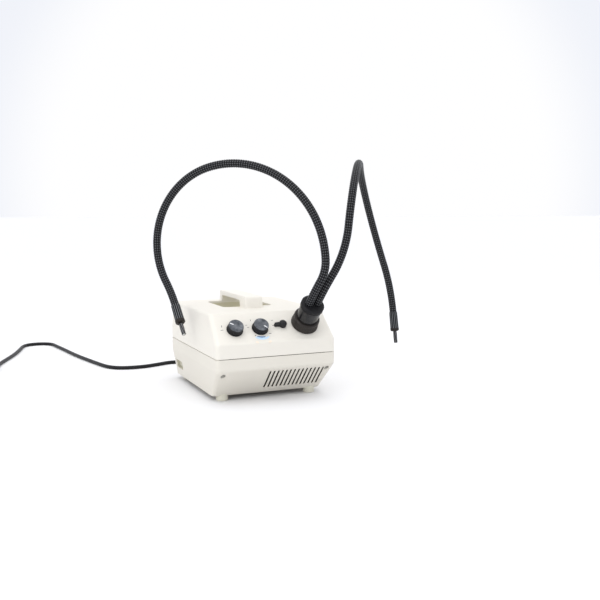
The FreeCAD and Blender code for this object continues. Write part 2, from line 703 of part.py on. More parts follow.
def upper_shell(outer, cavity):
    """Cover with the panel, the hand well and long screw columns that reach into the lower shell."""
    seam = SEAM_Z + SEAM_GAP / 2
    column_low = SEAM_Z - SCREW_COLUMN_BELOW_SEAM + SEATED
    hole_top = SEAM_Z - SCREW_SEAT_BELOW_SEAM + SCREW_LENGTH + PAST
    well_low = (WELL_LEFT, WELL_FRONT)
    well_high = (WELL_LEFT + WELL_WIDTH, WELL_FRONT + WELL_LENGTH)
    around_low = (WELL_LEFT - WALL, WELL_FRONT - WALL)
    around_high = (WELL_LEFT + WELL_WIDTH + WALL, WELL_FRONT + WELL_LENGTH + WALL)
    around_corner = WELL_CORNER + WALL
    around = rounded_plate(around_low, around_high, around_corner, WELL_FLOOR_Z - WALL, CASE_TOP + PAST)
    spindle_boss = cylinder(SPINDLE_BOSS_DIAMETER, -SPINDLE_BOSS_DEPTH, WALL)
    standing = [around, moved(spindle_boss, on_panel(SHUTTER_AT))]
    removed = [rounded_plate(well_low, well_high, WELL_CORNER, WELL_FLOOR_Z, CASE_TOP + PAST)]
    columns = []
    below_seam = []
    for x, y in screw_places():
        columns.append(cylinder(UPPER_COLUMN_DIAMETER, column_low, CASE_TOP, x, y))
        below_seam.append(cylinder(UPPER_COLUMN_DIAMETER, column_low, seam + PAST, x, y))
        removed.append(cylinder(SCREW_DIAMETER + 2 * RUNNING, column_low - PAST, hole_top, x, y))
    panel_holes = (
        (BUSHING_DIAMETER + 2 * SEATED, POWER_AT),
        (BUSHING_DIAMETER + 2 * SEATED, INTENSITY_AT),
        (SPINDLE_DIAMETER + 2 * RUNNING, SHUTTER_AT),
        (SLEEVE_OUTER_DIAMETER + 2 * SEATED, GUIDE_AT),
    )
    for diameter, at in panel_holes:
        hole = cylinder(diameter, -2 * SPINDLE_BOSS_DEPTH, WALL)
        removed.append(moved(hole, on_panel(at)))
    removed += rear_slots(SEAM_Z + LIP_HEIGHT + REAR_SLOT_BRIDGE, SEAM_Z + REAR_SLOT_ABOVE_SEAM)
    for x, y in handle_screw_places():
        diameter = HANDLE_SCREW_DIAMETER + 2 * SEATED
        removed.append(cylinder(diameter, CASE_TOP - 2 * WALL, CASE_TOP + PAST, x, y))
    groove = case_block(WALL / 2 - LIP_PLAY).common(slab(seam - PAST, SEAM_Z + LIP_HEIGHT + LIP_PLAY))
    hollow = cavity.fuse(groove).cut(standing + columns)
    form = outer.common(slab(seam, CASE_TOP + PAST)).fuse(below_seam)
    return form.cut(hollow).cut(removed).Solids[0]


def case_screws():
    """Screws up from below through the lower shell into the columns of the upper one."""
    seat = SEAM_Z - SCREW_SEAT_BELOW_SEAM
    long = SCREW_CROSS_LENGTH / 2
    thin = SCREW_CROSS_WIDTH / 2
    cross_top = seat - SCREW_HEAD_HEIGHT / 2
    screws = []
    for x, y in screw_places():
        shank = cylinder(SCREW_DIAMETER, seat, seat + SCREW_LENGTH, x, y)
        head = cylinder(SCREW_HEAD_DIAMETER, seat - SCREW_HEAD_HEIGHT, seat, x, y)
        cross = fused([box((x - long, y - thin, 0), (x + long, y + thin, cross_top)),
                       box((x - thin, y - long, 0), (x + thin, y + long, cross_top))])
        screws.append(fused([shank, head]).cut(cross))
    return screws


def feet():
    radius = FOOT_DIAMETER / 2
    top = CASE_BASE + FOOT_SUNK
    outline = [(0, 0), (radius - FOOT_CHAMFER, 0), (radius, FOOT_CHAMFER), (radius, top), (0, top)]
    return [turned(outline, x, y) for x, y in foot_places()]


def handle_ends():
    """Front and rear of the handle, and the inner sides of its legs."""
    front = WELL_FRONT - HANDLE_FRONT_LEG
    rear = WELL_FRONT + WELL_LENGTH + HANDLE_REAR_LEG
    return front, rear, WELL_FRONT, WELL_FRONT + WELL_LENGTH


def handle_screw_places():
    front, rear, front_leg, rear_leg = handle_ends()
    x = HANDLE_LEFT + HANDLE_WIDTH / 2
    rear_screw = rear_leg + WALL + REAR_HANDLE_SCREW_OFF_WELL + HANDLE_SCREW_HEAD / 2
    return [(x, (front + front_leg) / 2), (x, rear_screw)]


def carry_handle():
    front, rear, front_leg, rear_leg = handle_ends()
    top = CASE_TOP + HANDLE_RISE
    under = top - HANDLE_BAR
    outline = [(front, CASE_TOP), (front + HANDLE_LEAN, top), (rear - HANDLE_LEAN, top), (rear, CASE_TOP),
               (rear_leg, CASE_TOP), (rear_leg - HANDLE_LEAN, under), (front_leg + HANDLE_LEAN, under),
               (front_leg, CASE_TOP)]
    inner_bend = HANDLE_BEND - HANDLE_EDGE / 2
    radii = [0, HANDLE_BEND, HANDLE_BEND, 0, 0, inner_bend, inner_bend, 0]
    face = rounded_face([V(HANDLE_LEFT, y, z) for y, z in outline], radii)
    handle = face.extrude(RIGHT * HANDLE_WIDTH)
    sides = [edge for edge in handle.Edges
             if edge.BoundBox.XLength < 0.01 and edge.BoundBox.ZMax > CASE_TOP + PAST]
    handle = handle.makeFillet(HANDLE_EDGE, sides)
    hole_top = CASE_TOP - WALL + HANDLE_SCREW_LENGTH + PAST
    holes = [cylinder(HANDLE_SCREW_DIAMETER + 2 * RUNNING, CASE_TOP - PAST, hole_top, x, y)
             for x, y in handle_screw_places()]
    return handle.cut(holes)


def handle_screws():
    """Screws up through the top of the housing into the handle's legs, heads inside."""
    screws = []
    for x, y in handle_screw_places():
        seat = CASE_TOP - WALL
        shank = cylinder(HANDLE_SCREW_DIAMETER, seat, seat + HANDLE_SCREW_LENGTH, x, y)
        head = cylinder(HANDLE_SCREW_HEAD, seat - HANDLE_SCREW_HEAD_HEIGHT, seat, x, y)
        screws.append(fused([shank, head]))
    return screws


# ---- controls -----------------------------------------------------------------------------------
def knob(at, points_to):
    """Knob with a flared skirt, hollow underneath, and a seat for its cap."""
    base = KNOB_BASE_DIAMETER / 2
    top = KNOB_TOP_DIAMETER / 2
    high = KNOB_SEAT + KNOB_HEIGHT
    waist = (base + top) / 2
    hollow = KNOB_HOLLOW_DIAMETER / 2
    seat = CAP_DIAMETER / 2 + SEATED
    ceiling = KNOB_SEAT + KNOB_HOLLOW_DEPTH
    outline = [(0, ceiling), (hollow, ceiling), (hollow, KNOB_SEAT), (base, KNOB_SEAT),
               (base, KNOB_SEAT + KNOB_SKIRT / 2), (waist, KNOB_SEAT + KNOB_SKIRT), (top, high - KNOB_EDGE),
               (top - KNOB_EDGE / 2, high), (seat, high), (seat, high - CAP_THICKNESS),
               (0, high - CAP_THICKNESS)]
    bore = cylinder(SHAFT_DIAMETER + 2 * RUNNING, 0, high - KNOB_ROOF)
    return moved(turned(outline).cut(bore), turned_on_panel(at, points_to))


def turned_on_panel(at, angle):
    """Frame on the panel with its X turned to a direction on the panel."""
    turn = FreeCAD.Placement(V(0, 0, 0), FreeCAD.Rotation(UP, angle))
    return on_panel(at).multiply(turn)


def knob_cap(at, points_to):
    """Cap pressed into the knob's top, with the pointer's groove across it."""
    high = KNOB_SEAT + KNOB_HEIGHT
    low = high - CAP_THICKNESS
    cap = cylinder(CAP_DIAMETER, low, high)
    reach = CAP_DIAMETER / 2
    half = POINTER_WIDTH / 2
    groove = box((reach - POINTER_LENGTH, -half, high - POINTER_DEPTH), (reach, half, high + PAST))
    return moved(cap.cut(groove), turned_on_panel(at, points_to))


def control_shaft(at, depth):
    """Shaft from inside the control's body up into the knob."""
    top = KNOB_SEAT + KNOB_HEIGHT - KNOB_ROOF - SHAFT_SHORT
    return moved(cylinder(SHAFT_DIAMETER, -WALL - depth + SHAFT_END_WALL, top), on_panel(at))


def control_body(at, body, depth):
    """Body behind the panel with its threaded bushing, solder lugs and fixing nut."""
    bushing = cylinder(BUSHING_DIAMETER, -WALL - PAST, BUSHING_STANDS_OUT)
    middle = -WALL - depth / 2
    edge = -SWITCH_WIDTH / 2
    lugs = [box((way * LUG_SPACING - LUG_WIDTH / 2, edge - LUG_LENGTH, middle - LUG_THICKNESS / 2),
                (way * LUG_SPACING + LUG_WIDTH / 2, edge + LUG_ROOT, middle + LUG_THICKNESS / 2))
            for way in (-1, 0, 1)]
    bore_low = -WALL - depth + SHAFT_END_WALL - RUNNING
    bore = cylinder(SHAFT_DIAMETER + 2 * RUNNING, bore_low, BUSHING_STANDS_OUT + PAST)
    control = fused([body, bushing] + lugs).cut(bore)
    corner = NUT_ACROSS_FLATS / math.sqrt(3)
    angles = [math.radians(60 * index) for index in range(6)]
    points = [V(corner * math.cos(angle), corner * math.sin(angle), 0) for angle in angles]
    hexagon = Part.Face(Part.makePolygon(points + points[:1])).extrude(V(0, 0, NUT_THICKNESS))
    nut = hexagon.cut(cylinder(BUSHING_DIAMETER + 2 * RUNNING, -PAST, NUT_THICKNESS + PAST))
    return [moved(control, on_panel(at)), moved(nut, on_panel(at))]


def power_switch():
    half = SWITCH_WIDTH / 2
    body = rounded_plate((-half, -half), (half, half), SWITCH_CORNER, -WALL - SWITCH_DEPTH, -WALL)
    return control_body(POWER_AT, body, SWITCH_DEPTH)


def intensity_pot():
    body = cylinder(POT_DIAMETER, -WALL - POT_DEPTH, -WALL)
    return control_body(INTENSITY_AT, body, POT_DEPTH)


def shutter_lever():
    """Lever with a domed hub and a paddle to the left, on the shutter's spindle."""
    radius = LEVER_HUB_DIAMETER / 2
    top = KNOB_SEAT + LEVER_HEIGHT
    dome = LEVER_HEIGHT - LEVER_TIP_HEIGHT
    hub = turned([(0, KNOB_SEAT), (radius, KNOB_SEAT), (radius, top - 0.8 * dome),
                  (radius * 0.8, top - 0.25 * dome), (radius * 0.4, top), (0, top)])
    wide = LEVER_WIDTH / 2
    narrow = LEVER_WIDTH / 3
    outline = [V(0, -wide, KNOB_SEAT), V(-LEVER_REACH, -narrow, KNOB_SEAT),
               V(-LEVER_REACH, narrow, KNOB_SEAT), V(0, wide, KNOB_SEAT)]
    paddle = rounded_face(outline, [0, LEVER_CORNER, LEVER_CORNER, 0]).extrude(V(0, 0, LEVER_TIP_HEIGHT))
    bore = cylinder(SPINDLE_DIAMETER + 2 * RUNNING, 0, top - LEVER_ROOF)
    return moved(fused([hub, paddle]).cut(bore), on_panel(SHUTTER_AT))


def shutter_blade():
    """Spindle with a sector blade, perforated more and more closely across the light's path."""
    low = -BLADE_BEHIND_PANEL - BLADE_THICKNESS
    spindle = cylinder(SPINDLE_DIAMETER, low, KNOB_SEAT + LEVER_HEIGHT - LEVER_ROOF - SEATED)
    hub = cylinder(BLADE_HUB_DIAMETER, low, low + BLADE_HUB_LENGTH)
    sweep = math.radians(BLADE_HALF_ANGLE)
    rim = [V(BLADE_OUTER * math.cos(sweep), side * BLADE_OUTER * math.sin(sweep), low)
           for side in (-1, 1)]
    inner = [V(BLADE_INNER * math.cos(sweep), side * BLADE_INNER * math.sin(sweep), low)
             for side in (-1, 1)]
    root = [V(0, side * BLADE_ROOT_WIDTH / 2, low) for side in (-1, 1)]
    edges = [Part.Arc(rim[0], V(BLADE_OUTER, 0, low), rim[1]).toShape()]
    for line in ((rim[1], inner[1]), (inner[1], root[1]), (root[1], root[0]), (root[0], inner[0]),
                 (inner[0], rim[0])):
        edges.append(Part.LineSegment(*line).toShape())
    blade = Part.Face(Part.Wire(Part.__sortEdges__(edges))).extrude(V(0, 0, BLADE_THICKNESS))
    guide = V(GUIDE_AT[0] - SHUTTER_AT[0], GUIDE_AT[1] - SHUTTER_AT[1], 0)
    holes = []
    for row in range(BLADE_HOLE_ROWS):
        angle = math.radians(BLADE_FIRST_ROW + row * BLADE_ROW_ANGLE - BLADE_HALF_ANGLE)
        for step in range(-(row // 2), row // 2 + 1):
            distance = guide.Length + step * BLADE_HOLE_STEP
            holes.append(cylinder(BLADE_HOLE, low - PAST, low + BLADE_THICKNESS + PAST,
                                  distance * math.cos(angle), distance * math.sin(angle)))
    return moved(fused([spindle, hub, blade]).cut(holes), on_panel(SHUTTER_AT))


# ---- light guide socket and head ----------------------------------------------------------------
def socket_sleeve():
    bore = PLUG_DIAMETER + 2 * RUNNING
    sleeve = ring(SLEEVE_OUTER_DIAMETER, bore, -SLEEVE_BEHIND, SLEEVE_TOP)
    flange = ring(SLEEVE_OUTER_DIAMETER + 2 * SLEEVE_FLANGE, bore, -WALL - SLEEVE_FLANGE_THICKNESS, -WALL)
    return moved(fused([sleeve, flange]), on_panel(GUIDE_AT))


def clamp_collar():
    """Clamp ring that turns on the sleeve and closes over its end round the plug."""
    outer = COLLAR_DIAMETER / 2
    top = outer - COLLAR_TAPER
    bore = SLEEVE_OUTER_DIAMETER / 2 + RUNNING
    lip = PLUG_DIAMETER / 2 + LOOSE
    outline = [(bore, COLLAR_SEAT), (outer - COLLAR_FOOT_EDGE, COLLAR_SEAT),
               (outer, COLLAR_SEAT + COLLAR_FOOT_EDGE), (top, COLLAR_TOP - COLLAR_EDGE),
               (top - COLLAR_EDGE, COLLAR_TOP), (lip, COLLAR_TOP), (lip, SLEEVE_TOP + LOOSE),
               (bore, SLEEVE_TOP + LOOSE)]
    return moved(turned(outline), on_panel(GUIDE_AT))


def guide_plug():
    plug = cylinder(PLUG_DIAMETER, -PLUG_BEHIND, PLUG_TOP)
    seat = cylinder(BUNDLE_DIAMETER + 2 * RUNNING, -PLUG_BEHIND, -PLUG_BEHIND + BUNDLE_THICKNESS)
    return moved(plug.cut(seat), on_panel(GUIDE_AT))


def bundle_face():
    face = cylinder(BUNDLE_DIAMETER, -PLUG_BEHIND, -PLUG_BEHIND + BUNDLE_THICKNESS)
    return moved(face, on_panel(GUIDE_AT))


def guide_head():
    """Head on the plug's upper part, standing off the collar."""
    radius = HEAD_DIAMETER / 2
    low = COLLAR_TOP + COLLAR_SEAT
    inner = PLUG_DIAMETER / 2 + RUNNING
    outline = [(inner, low), (radius - HEAD_EDGE, low), (radius, low + HEAD_EDGE), (radius, HEAD_TOP),
               (0, HEAD_TOP), (0, PLUG_TOP + RUNNING), (inner, PLUG_TOP + RUNNING)]
    return moved(turned(outline), on_panel(GUIDE_AT))


def head_cap():
    radius = CAP_RIM_DIAMETER / 2
    outline = [(0, HEAD_TOP), (radius, HEAD_TOP), (radius, CAP_TOP - CAP_EDGE),
               (radius - CAP_EDGE, CAP_TOP), (0, CAP_TOP)]
    bores = [cylinder(NECK_DIAMETER + 2 * SEATED, CAP_TOP - NECK_IN_HEAD - SEATED, CAP_TOP + PAST,
                      side * NECK_SPACING / 2) for side in (-1, 1)]
    return moved(turned(outline).cut(bores), on_panel(GUIDE_AT))


# ---- arms ---------------------------------------------------------------------------------------
class BentLine:
    """A line of straight and evenly bent stretches, each leaving where the last one ends."""

    def __init__(self, start, heading):
        self.point = start
        self.heading = heading
        self.length = 0.0
        self.stretches = []

    def go(self, length, turn=0.0, toward=UP):
        """Add a stretch that turns by an angle in degrees towards a direction."""
        side = toward - self.heading * toward.dot(self.heading)
        side.normalize()
        if turn < 0:
            side = side * -1
        stretch = (self.length, length, self.point, self.heading, side, math.radians(abs(turn)))
        self.stretches.append(stretch)
        self.point, self.heading, _ = self.along(stretch, length)
        self.length += length

    @staticmethod
    def along(stretch, distance):
        """Point, heading and inner side at a distance into a stretch."""
        _, length, point, heading, side, turn = stretch
        if turn == 0:
            return point + heading * distance, heading, side
        radius = length / turn
        angle = distance / radius
        place = point + heading * (radius * math.sin(angle)) + side * (radius * (1 - math.cos(angle)))
        ahead = heading * math.cos(angle) + side * math.sin(angle)
        inward = side * math.cos(angle) - heading * math.sin(angle)
        return place, ahead, inward

    def at(self, distance):
        """Point, heading and inner side at a distance along the whole line."""
        for stretch in self.stretches:
            if distance <= stretch[0] + stretch[1]:
                return self.along(stretch, distance - stretch[0])
        return self.along(self.stretches[-1], distance - self.stretches[-1][0])

    def tube(self, diameter, start, end):
        """Round bar along part of the line."""
        pieces = []
        for stretch in self.stretches:
            first = max(start - stretch[0], 0.0)
            last = min(end - stretch[0], stretch[1])
            if last - first < 1e-6:
                continue
            place, ahead, inward = self.along(stretch, first)
            disc = Part.Face(Part.Wire(Part.makeCircle(diameter / 2, place, ahead)))
            if stretch[5] == 0:
                pieces.append(disc.extrude(ahead * (last - first)))
                continue
            radius = stretch[1] / stretch[5]
            axis = ahead.cross(inward)
            swept = math.degrees((last - first) / radius)
            pieces.append(disc.revolve(place + inward * radius, axis, swept))
        return pieces[0] if len(pieces) == 1 else fused(pieces)


def compass(direction, rise):
    """Unit vector from a compass direction (0 to the right, 90 to the back) and a rise."""
    level = math.cos(math.radians(rise))
    return V(level * math.cos(math.radians(direction)), level * math.sin(math.radians(direction)),
             math.sin(math.radians(rise)))


def arm_line(side, shape):
    """Centre line of an arm from inside the head's cap to the end of its ferrule."""
    head = on_panel(GUIDE_AT).multVec(V(side * NECK_SPACING / 2, 0, CAP_TOP - NECK_IN_HEAD))
    line = BentLine(head, OUT_OF_PANEL)
    line.go(NECK_IN_HEAD)
    for length, turn, direction, rise in shape:
        line.go(length, turn, compass(direction, rise))
    line.go(GRIP_LENGTH + FERRULE_LENGTH)
    return line


def arm_frame(line, distance):
    """Frame on an arm: Z along it, X to the outside of its bend."""
    place, ahead, inward = line.at(NECK_IN_HEAD + distance)
    return frame_at(place, -inward, ahead)


def neck_pieces(line):
    """Stiff stretches of an arm, each ending in a ball that the next one's hollow end turns on."""
    end = line.length - FERRULE_LENGTH - GRIP_LENGTH + NECK_IN_GRIP
    bends = [NECK_IN_HEAD + distance for distance in BENDS_AT]
    pieces = []
    for index in range(len(bends) + 1):
        start = bends[index - 1] + SOCKET_STANDS_OFF if index else 0.0
        stop = bends[index] - BALL_STANDS_OFF if index < len(bends) else end
        piece = line.tube(NECK_DIAMETER, start, stop)
        if index:
            hollow = Part.makeSphere(BALL_DIAMETER / 2 + LOOSE, line.at(bends[index - 1])[0])
            piece = piece.cut(hollow)
        if index < len(bends):
            piece = fused([piece, Part.makeSphere(BALL_DIAMETER / 2, line.at(bends[index])[0])])
        pieces.append(piece)
    return pieces


def grip(line):
    """Grip that wraps the end of the neck, widens towards its end band and holds the ferrule."""
    start = GRIP_NECK_DIAMETER / 2
    end = start + GRIP_SWELL
    band = end + GRIP_BAND
    band_high = GRIP_LENGTH - GRIP_END_EDGE
    band_low = band_high - GRIP_BAND_LENGTH
    outline = [(0, 0), (start - GRIP_EDGE / 2, 0), (start, GRIP_EDGE), (end, band_low - GRIP_BAND),
               (band, band_low), (band, band_high), (band - GRIP_END_EDGE, GRIP_LENGTH), (0, GRIP_LENGTH)]
    neck_bore = cylinder(NECK_DIAMETER + 2 * SEATED, -PAST, NECK_IN_GRIP + SEATED)
    shank_low = GRIP_LENGTH - FERRULE_IN_GRIP - RUNNING
    shank_bore = cylinder(FERRULE_SHANK_DIAMETER + 2 * RUNNING, shank_low, GRIP_LENGTH + PAST)
    return moved(turned(outline).cut([neck_bore, shank_bore]), tip_frame(line))


def tip_frame(line):
    """Frame at the start of an arm's grip."""
    return arm_frame(line, line.length - NECK_IN_HEAD - FERRULE_LENGTH - GRIP_LENGTH)


def ferrule(line):
    """Ferrule with a thinner shank in the grip and the fibres' seat in its end."""
    outer = FERRULE_DIAMETER / 2
    shank = FERRULE_SHANK_DIAMETER / 2
    low = GRIP_LENGTH - FERRULE_IN_GRIP
    shoulder = GRIP_LENGTH + FERRULE_STANDS_OFF
    high = GRIP_LENGTH + FERRULE_LENGTH
    seat = high - FIBRE_RECESS - FIBRE_THICKNESS
    fibres = FIBRE_DIAMETER / 2 + RUNNING
    outline = [(0, low), (shank, low), (shank, shoulder), (outer, shoulder), (outer, high - FERRULE_EDGE),
               (outer - FERRULE_EDGE, high), (fibres, high), (fibres, seat), (0, seat)]
    return moved(turned(outline), tip_frame(line))


def fibre_face(line):
    high = GRIP_LENGTH + FERRULE_LENGTH - FIBRE_RECESS
    return moved(cylinder(FIBRE_DIAMETER, high - FIBRE_THICKNESS, high), tip_frame(line))


# ---- lamp ---------------------------------------------------------------------------------------
def bent_strip(points, thickness, left, right):
    """Folded sheet strip: a line of (y, z) points on one face, thickened to the left of travel."""
    line = [V(left, y, z) for y, z in points]
    offset = []
    for index, point in enumerate(line):
        before = line[max(index - 1, 0)]
        after = line[min(index + 1, len(line) - 1)]
        arriving = (point - before if index else after - point).normalize()
        leaving = (after - point if index < len(line) - 1 else point - before).normalize()
        normal = RIGHT.cross(arriving) + RIGHT.cross(leaving)
        normal.normalize()
        half_turn = arriving.getAngle(leaving) / 2
        offset.append(point + normal * (thickness / math.cos(half_turn)))
    outline = line + offset[::-1]
    return Part.Face(Part.makePolygon(outline + outline[:1])).extrude(RIGHT * (right - left))


def panel_yz(up_slope, height):
    """The y and z of a place given up the panel's slope and along its normal."""
    point = PANEL_FOOT + UP_PANEL * up_slope + OUT_OF_PANEL * height
    return point.y, point.z


def lamp_bracket():
    """Sheet bracket from the chassis up to the lamp's window, with cheeks back to the lamp socket."""
    left = GUIDE_X - BRACKET_WIDTH / 2
    right = GUIDE_X + BRACKET_WIDTH / 2
    behind = -BRACKET_BEHIND_PANEL
    low = panel_yz(BRACKET_LOW, behind)
    flange_front = FRONT + CHASSIS_FROM_FRONT + BRACKET_FOOT_FROM_EDGE
    grille_z = CASE_BASE + (FRONT + GRILLE_SETBACK - low[0]) * GRILLE_HEIGHT / GRILLE_SETBACK
    points = [(flange_front + BRACKET_FOOT_LENGTH, CHASSIS_TOP), (flange_front, CHASSIS_TOP),
              (low[0], grille_z + BRACKET_ABOVE_GRILLE), low, panel_yz(BRACKET_HIGH, behind)]
    strip = bent_strip(points, -BRACKET_THICKNESS, left, right)
    deep = 4 * BRACKET_THICKNESS
    window = moved(cylinder(BRACKET_WINDOW_DIAMETER, behind - deep, behind + deep), on_panel(GUIDE_AT))
    half = LAMP_DIAMETER / 2 + CHEEK_PLAY
    thin = BRACKET_THICKNESS / 2
    wide = CHEEK_WIDTH / 2
    back = lamp_back() - SOCKET_GAP - SOCKET_DEPTH
    low_end = back - BRACKET_THICKNESS
    cheeks = [box((side * half - thin, -wide, low_end), (side * half + thin, wide, behind - thin))
              for side in (-1, 1)]
    plate = box((-half, -wide, low_end), (half, wide, back))
    frame = [moved(part, on_panel(GUIDE_AT)) for part in cheeks + [plate]]
    return fused([strip] + frame).cut(window)


def lamp_back():
    """Height of the lamp's back end along the panel's normal."""
    return -BRACKET_BEHIND_PANEL - BRACKET_THICKNESS - LAMP_LENGTH


def lamp():
    """Reflector lamp: a bowl with a moulded base and two pins."""
    rim = LAMP_DIAMETER / 2
    base = LAMP_BASE_DIAMETER / 2
    front = -BRACKET_BEHIND_PANEL - BRACKET_THICKNESS
    back = lamp_back()
    bowl_low = back + LAMP_BOWL_FROM_BACK
    bowl_depth = front - LAMP_RIM - PAST - bowl_low
    bowl = []
    for step in range(LAMP_BOWL_STEPS + 1):
        angle = step / LAMP_BOWL_STEPS * math.pi / 2
        radius = base + (rim - LAMP_GLASS - base) * math.sin(angle)
        bowl.append((radius, bowl_low + bowl_depth * (1 - math.cos(angle))))
    inner = [(max(radius - LAMP_GLASS, 0), height + LAMP_GLASS / 2) for radius, height in bowl[1:]]
    outline = [(0, back), (base, back)] + bowl
    outline += [(rim, front - LAMP_RIM), (rim, front), (rim - 1.5 * LAMP_GLASS, front)]
    outline += inner[::-1] + [(0, bowl_low + LAMP_GLASS)]
    pins = [cylinder(LAMP_PIN_DIAMETER, back - LAMP_PIN_LENGTH, back + PAST, side * LAMP_PIN_SPACING / 2)
            for side in (-1, 1)]
    wide = BURNER_DIAMETER / 2
    burner = turned([(0, bowl_low), (wide, bowl_low), (wide, bowl_low + BURNER_LENGTH - wide),
                     (wide * 0.6, bowl_low + BURNER_LENGTH - PAST), (0, bowl_low + BURNER_LENGTH)])
    return moved(fused([turned(outline), burner] + pins), on_panel(GUIDE_AT))


def lamp_socket():
    """Ceramic socket behind the lamp, held by the bracket's rear plate."""
    high = lamp_back() - SOCKET_GAP
    wide = SOCKET_WIDTH / 2
    tall = SOCKET_HEIGHT / 2
    body = rounded_plate((-wide, -tall), (wide, tall), 2, high - SOCKET_DEPTH, high)
    diameter = LAMP_PIN_DIAMETER + 2 * SEATED
    holes = [cylinder(diameter, high - LAMP_PIN_LENGTH, high + PAST, side * LAMP_PIN_SPACING / 2)
             for side in (-1, 1)]
    return moved(body.cut(holes), on_panel(GUIDE_AT))


def heat_filter():
    low = -BRACKET_BEHIND_PANEL
    return moved(cylinder(FILTER_DIAMETER, low, low + FILTER_THICKNESS), on_panel(GUIDE_AT))


def lamp_shield():
    """Upright sheet on the chassis between the lamp and the electronics."""
    x = GUIDE_X - BRACKET_WIDTH / 2 - SHIELD_FROM_BRACKET
    front = FRONT + CHASSIS_FROM_FRONT + SHIELD_FROM_EDGE
    rear = front + SHIELD_LENGTH
    sheet = box((x, front, CHASSIS_TOP), (x + SHIELD_THICKNESS, rear, SHIELD_TOP))
    flange = box((x - SHIELD_FLANGE, front, CHASSIS_TOP), (x, rear, CHASSIS_TOP + SHIELD_THICKNESS))
    first = (front + rear - (SHIELD_VENTS - 1) * SHIELD_VENT_PITCH - SHIELD_VENT_WIDTH) / 2
    vents = []
    for step in range(SHIELD_VENTS):
        y = first + step * SHIELD_VENT_PITCH
        low = (x - PAST, y, SHIELD_VENT_LOW)
        vents.append(box(low, (x + SHIELD_THICKNESS + PAST, y + SHIELD_VENT_WIDTH, SHIELD_VENT_HIGH)))
    return fused([sheet, flange]).cut(vents)


# ---- chassis ------------------------------------------------------------------------------------
def fan_centre():
    height = CHASSIS_TOP + FAN_ABOVE_CHASSIS + FAN_SIZE / 2
    return V(HALF - FAN_FROM_SIDE, BACK - FAN_FROM_BACK - FAN_DEPTH / 2, height)


def fan_frame_at():
    """Frame at the fan's centre with Z to the back."""
    return frame_at(fan_centre(), -RIGHT, REARWARD)


def fan_corners():
    half = FAN_HOLE_SPACING / 2
    return [(x, y) for x in (-half, half) for y in (-half, half)]


def board_corner():
    return -HALF + BOARD_FROM_SIDE, FRONT + BOARD_FROM_FRONT


def board_posts():
    left, front = board_corner()
    edge = BOARD_POST_FROM_EDGE
    return [(left + x, front + y) for x in (edge, BOARD_WIDTH - edge) for y in (edge, BOARD_LENGTH - edge)]


def chassis_plate():
    """Plate with the fan's upright, the posts of the control board and its fixing holes."""
    left = -HALF + CHASSIS_FROM_SIDE
    right = HALF - CHASSIS_FROM_SIDE
    front = FRONT + CHASSIS_FROM_FRONT
    rear = BACK - CHASSIS_FROM_BACK
    plate = rounded_plate((left, front), (right, rear), CHASSIS_CORNER, CHASSIS_LOW, CHASSIS_TOP)
    half = FAN_SIZE / 2
    face = -FAN_DEPTH / 2
    foot = -half - FAN_ABOVE_CHASSIS - CHASSIS_THICKNESS / 2
    upright = rounded_plate((-half, foot), (half, half), CHASSIS_CORNER, face - CHASSIS_THICKNESS, face)
    bottom = box((-half, foot, face - CHASSIS_THICKNESS), (half, foot + 2 * CHASSIS_CORNER, face))
    window = cylinder(FAN_BORE_DIAMETER, face - CHASSIS_THICKNESS - PAST, face + PAST)
    holes = [cylinder(FAN_HOLE_DIAMETER, face - CHASSIS_THICKNESS - PAST, face + PAST, x, y)
             for x, y in fan_corners()]
    panel = moved(fused([upright, bottom]).cut([window] + holes), fan_frame_at())
    posts = [cylinder(BOARD_POST_DIAMETER, CHASSIS_TOP, CHASSIS_TOP + BOARD_ABOVE_CHASSIS, x, y)
             for x, y in board_posts()]
    screw_hole = CHASSIS_SCREW_DIAMETER + 2 * SEATED
    plate_holes = [cylinder(screw_hole, CHASSIS_LOW - PAST, CHASSIS_TOP + PAST, x, y)
                   for x, y in post_places()]
    return fused([plate, panel] + posts).cut(plate_holes)


def chassis_screws():
    """Screws down through the chassis plate into the posts of the lower shell."""
    screws = []
    for x, y in post_places():
        shank = cylinder(CHASSIS_SCREW_DIAMETER, FLOOR_Z, CHASSIS_TOP + PAST, x, y)
        head = cylinder(CHASSIS_SCREW_HEAD, CHASSIS_TOP, CHASSIS_TOP + CHASSIS_SCREW_HEAD_HEIGHT, x, y)
        screws.append(fused([shank, head]))
    return screws


def fan_frame():
    """Square fan frame with struts that hold the motor and its pin."""
    half = FAN_SIZE / 2
    deep = FAN_DEPTH / 2
    body = rounded_plate((-half, -half), (half, half), FAN_CORNER, -deep, deep)
    bore = cylinder(FAN_BORE_DIAMETER, -deep - PAST, deep + PAST)
    holes = [cylinder(FAN_HOLE_DIAMETER, -deep - PAST, deep + PAST, x, y) for x, y in fan_corners()]
    frame = body.cut([bore] + holes)
    struts = []
    for index in range(FAN_STRUTS):
        strut = box((FAN_HUB_DIAMETER / 2 - PAST, -FAN_STRUT_WIDTH / 2, deep - FAN_STRUT_THICKNESS),
                    (FAN_BORE_DIAMETER / 2 + PAST, FAN_STRUT_WIDTH / 2, deep))
        strut.rotate(V(0, 0, 0), UP, 45 + index * 360 / FAN_STRUTS)
        struts.append(strut)
    motor = cylinder(FAN_HUB_DIAMETER, deep - FAN_MOTOR_THICKNESS, deep)
    pin_low = -deep + FAN_ROTOR_FROM_FRONT + FAN_HUB_FACE
    pin = cylinder(FAN_PIN_DIAMETER, pin_low, deep - FAN_STRUT_THICKNESS)
    return moved(fused([frame, motor, pin] + struts), fan_frame_at())


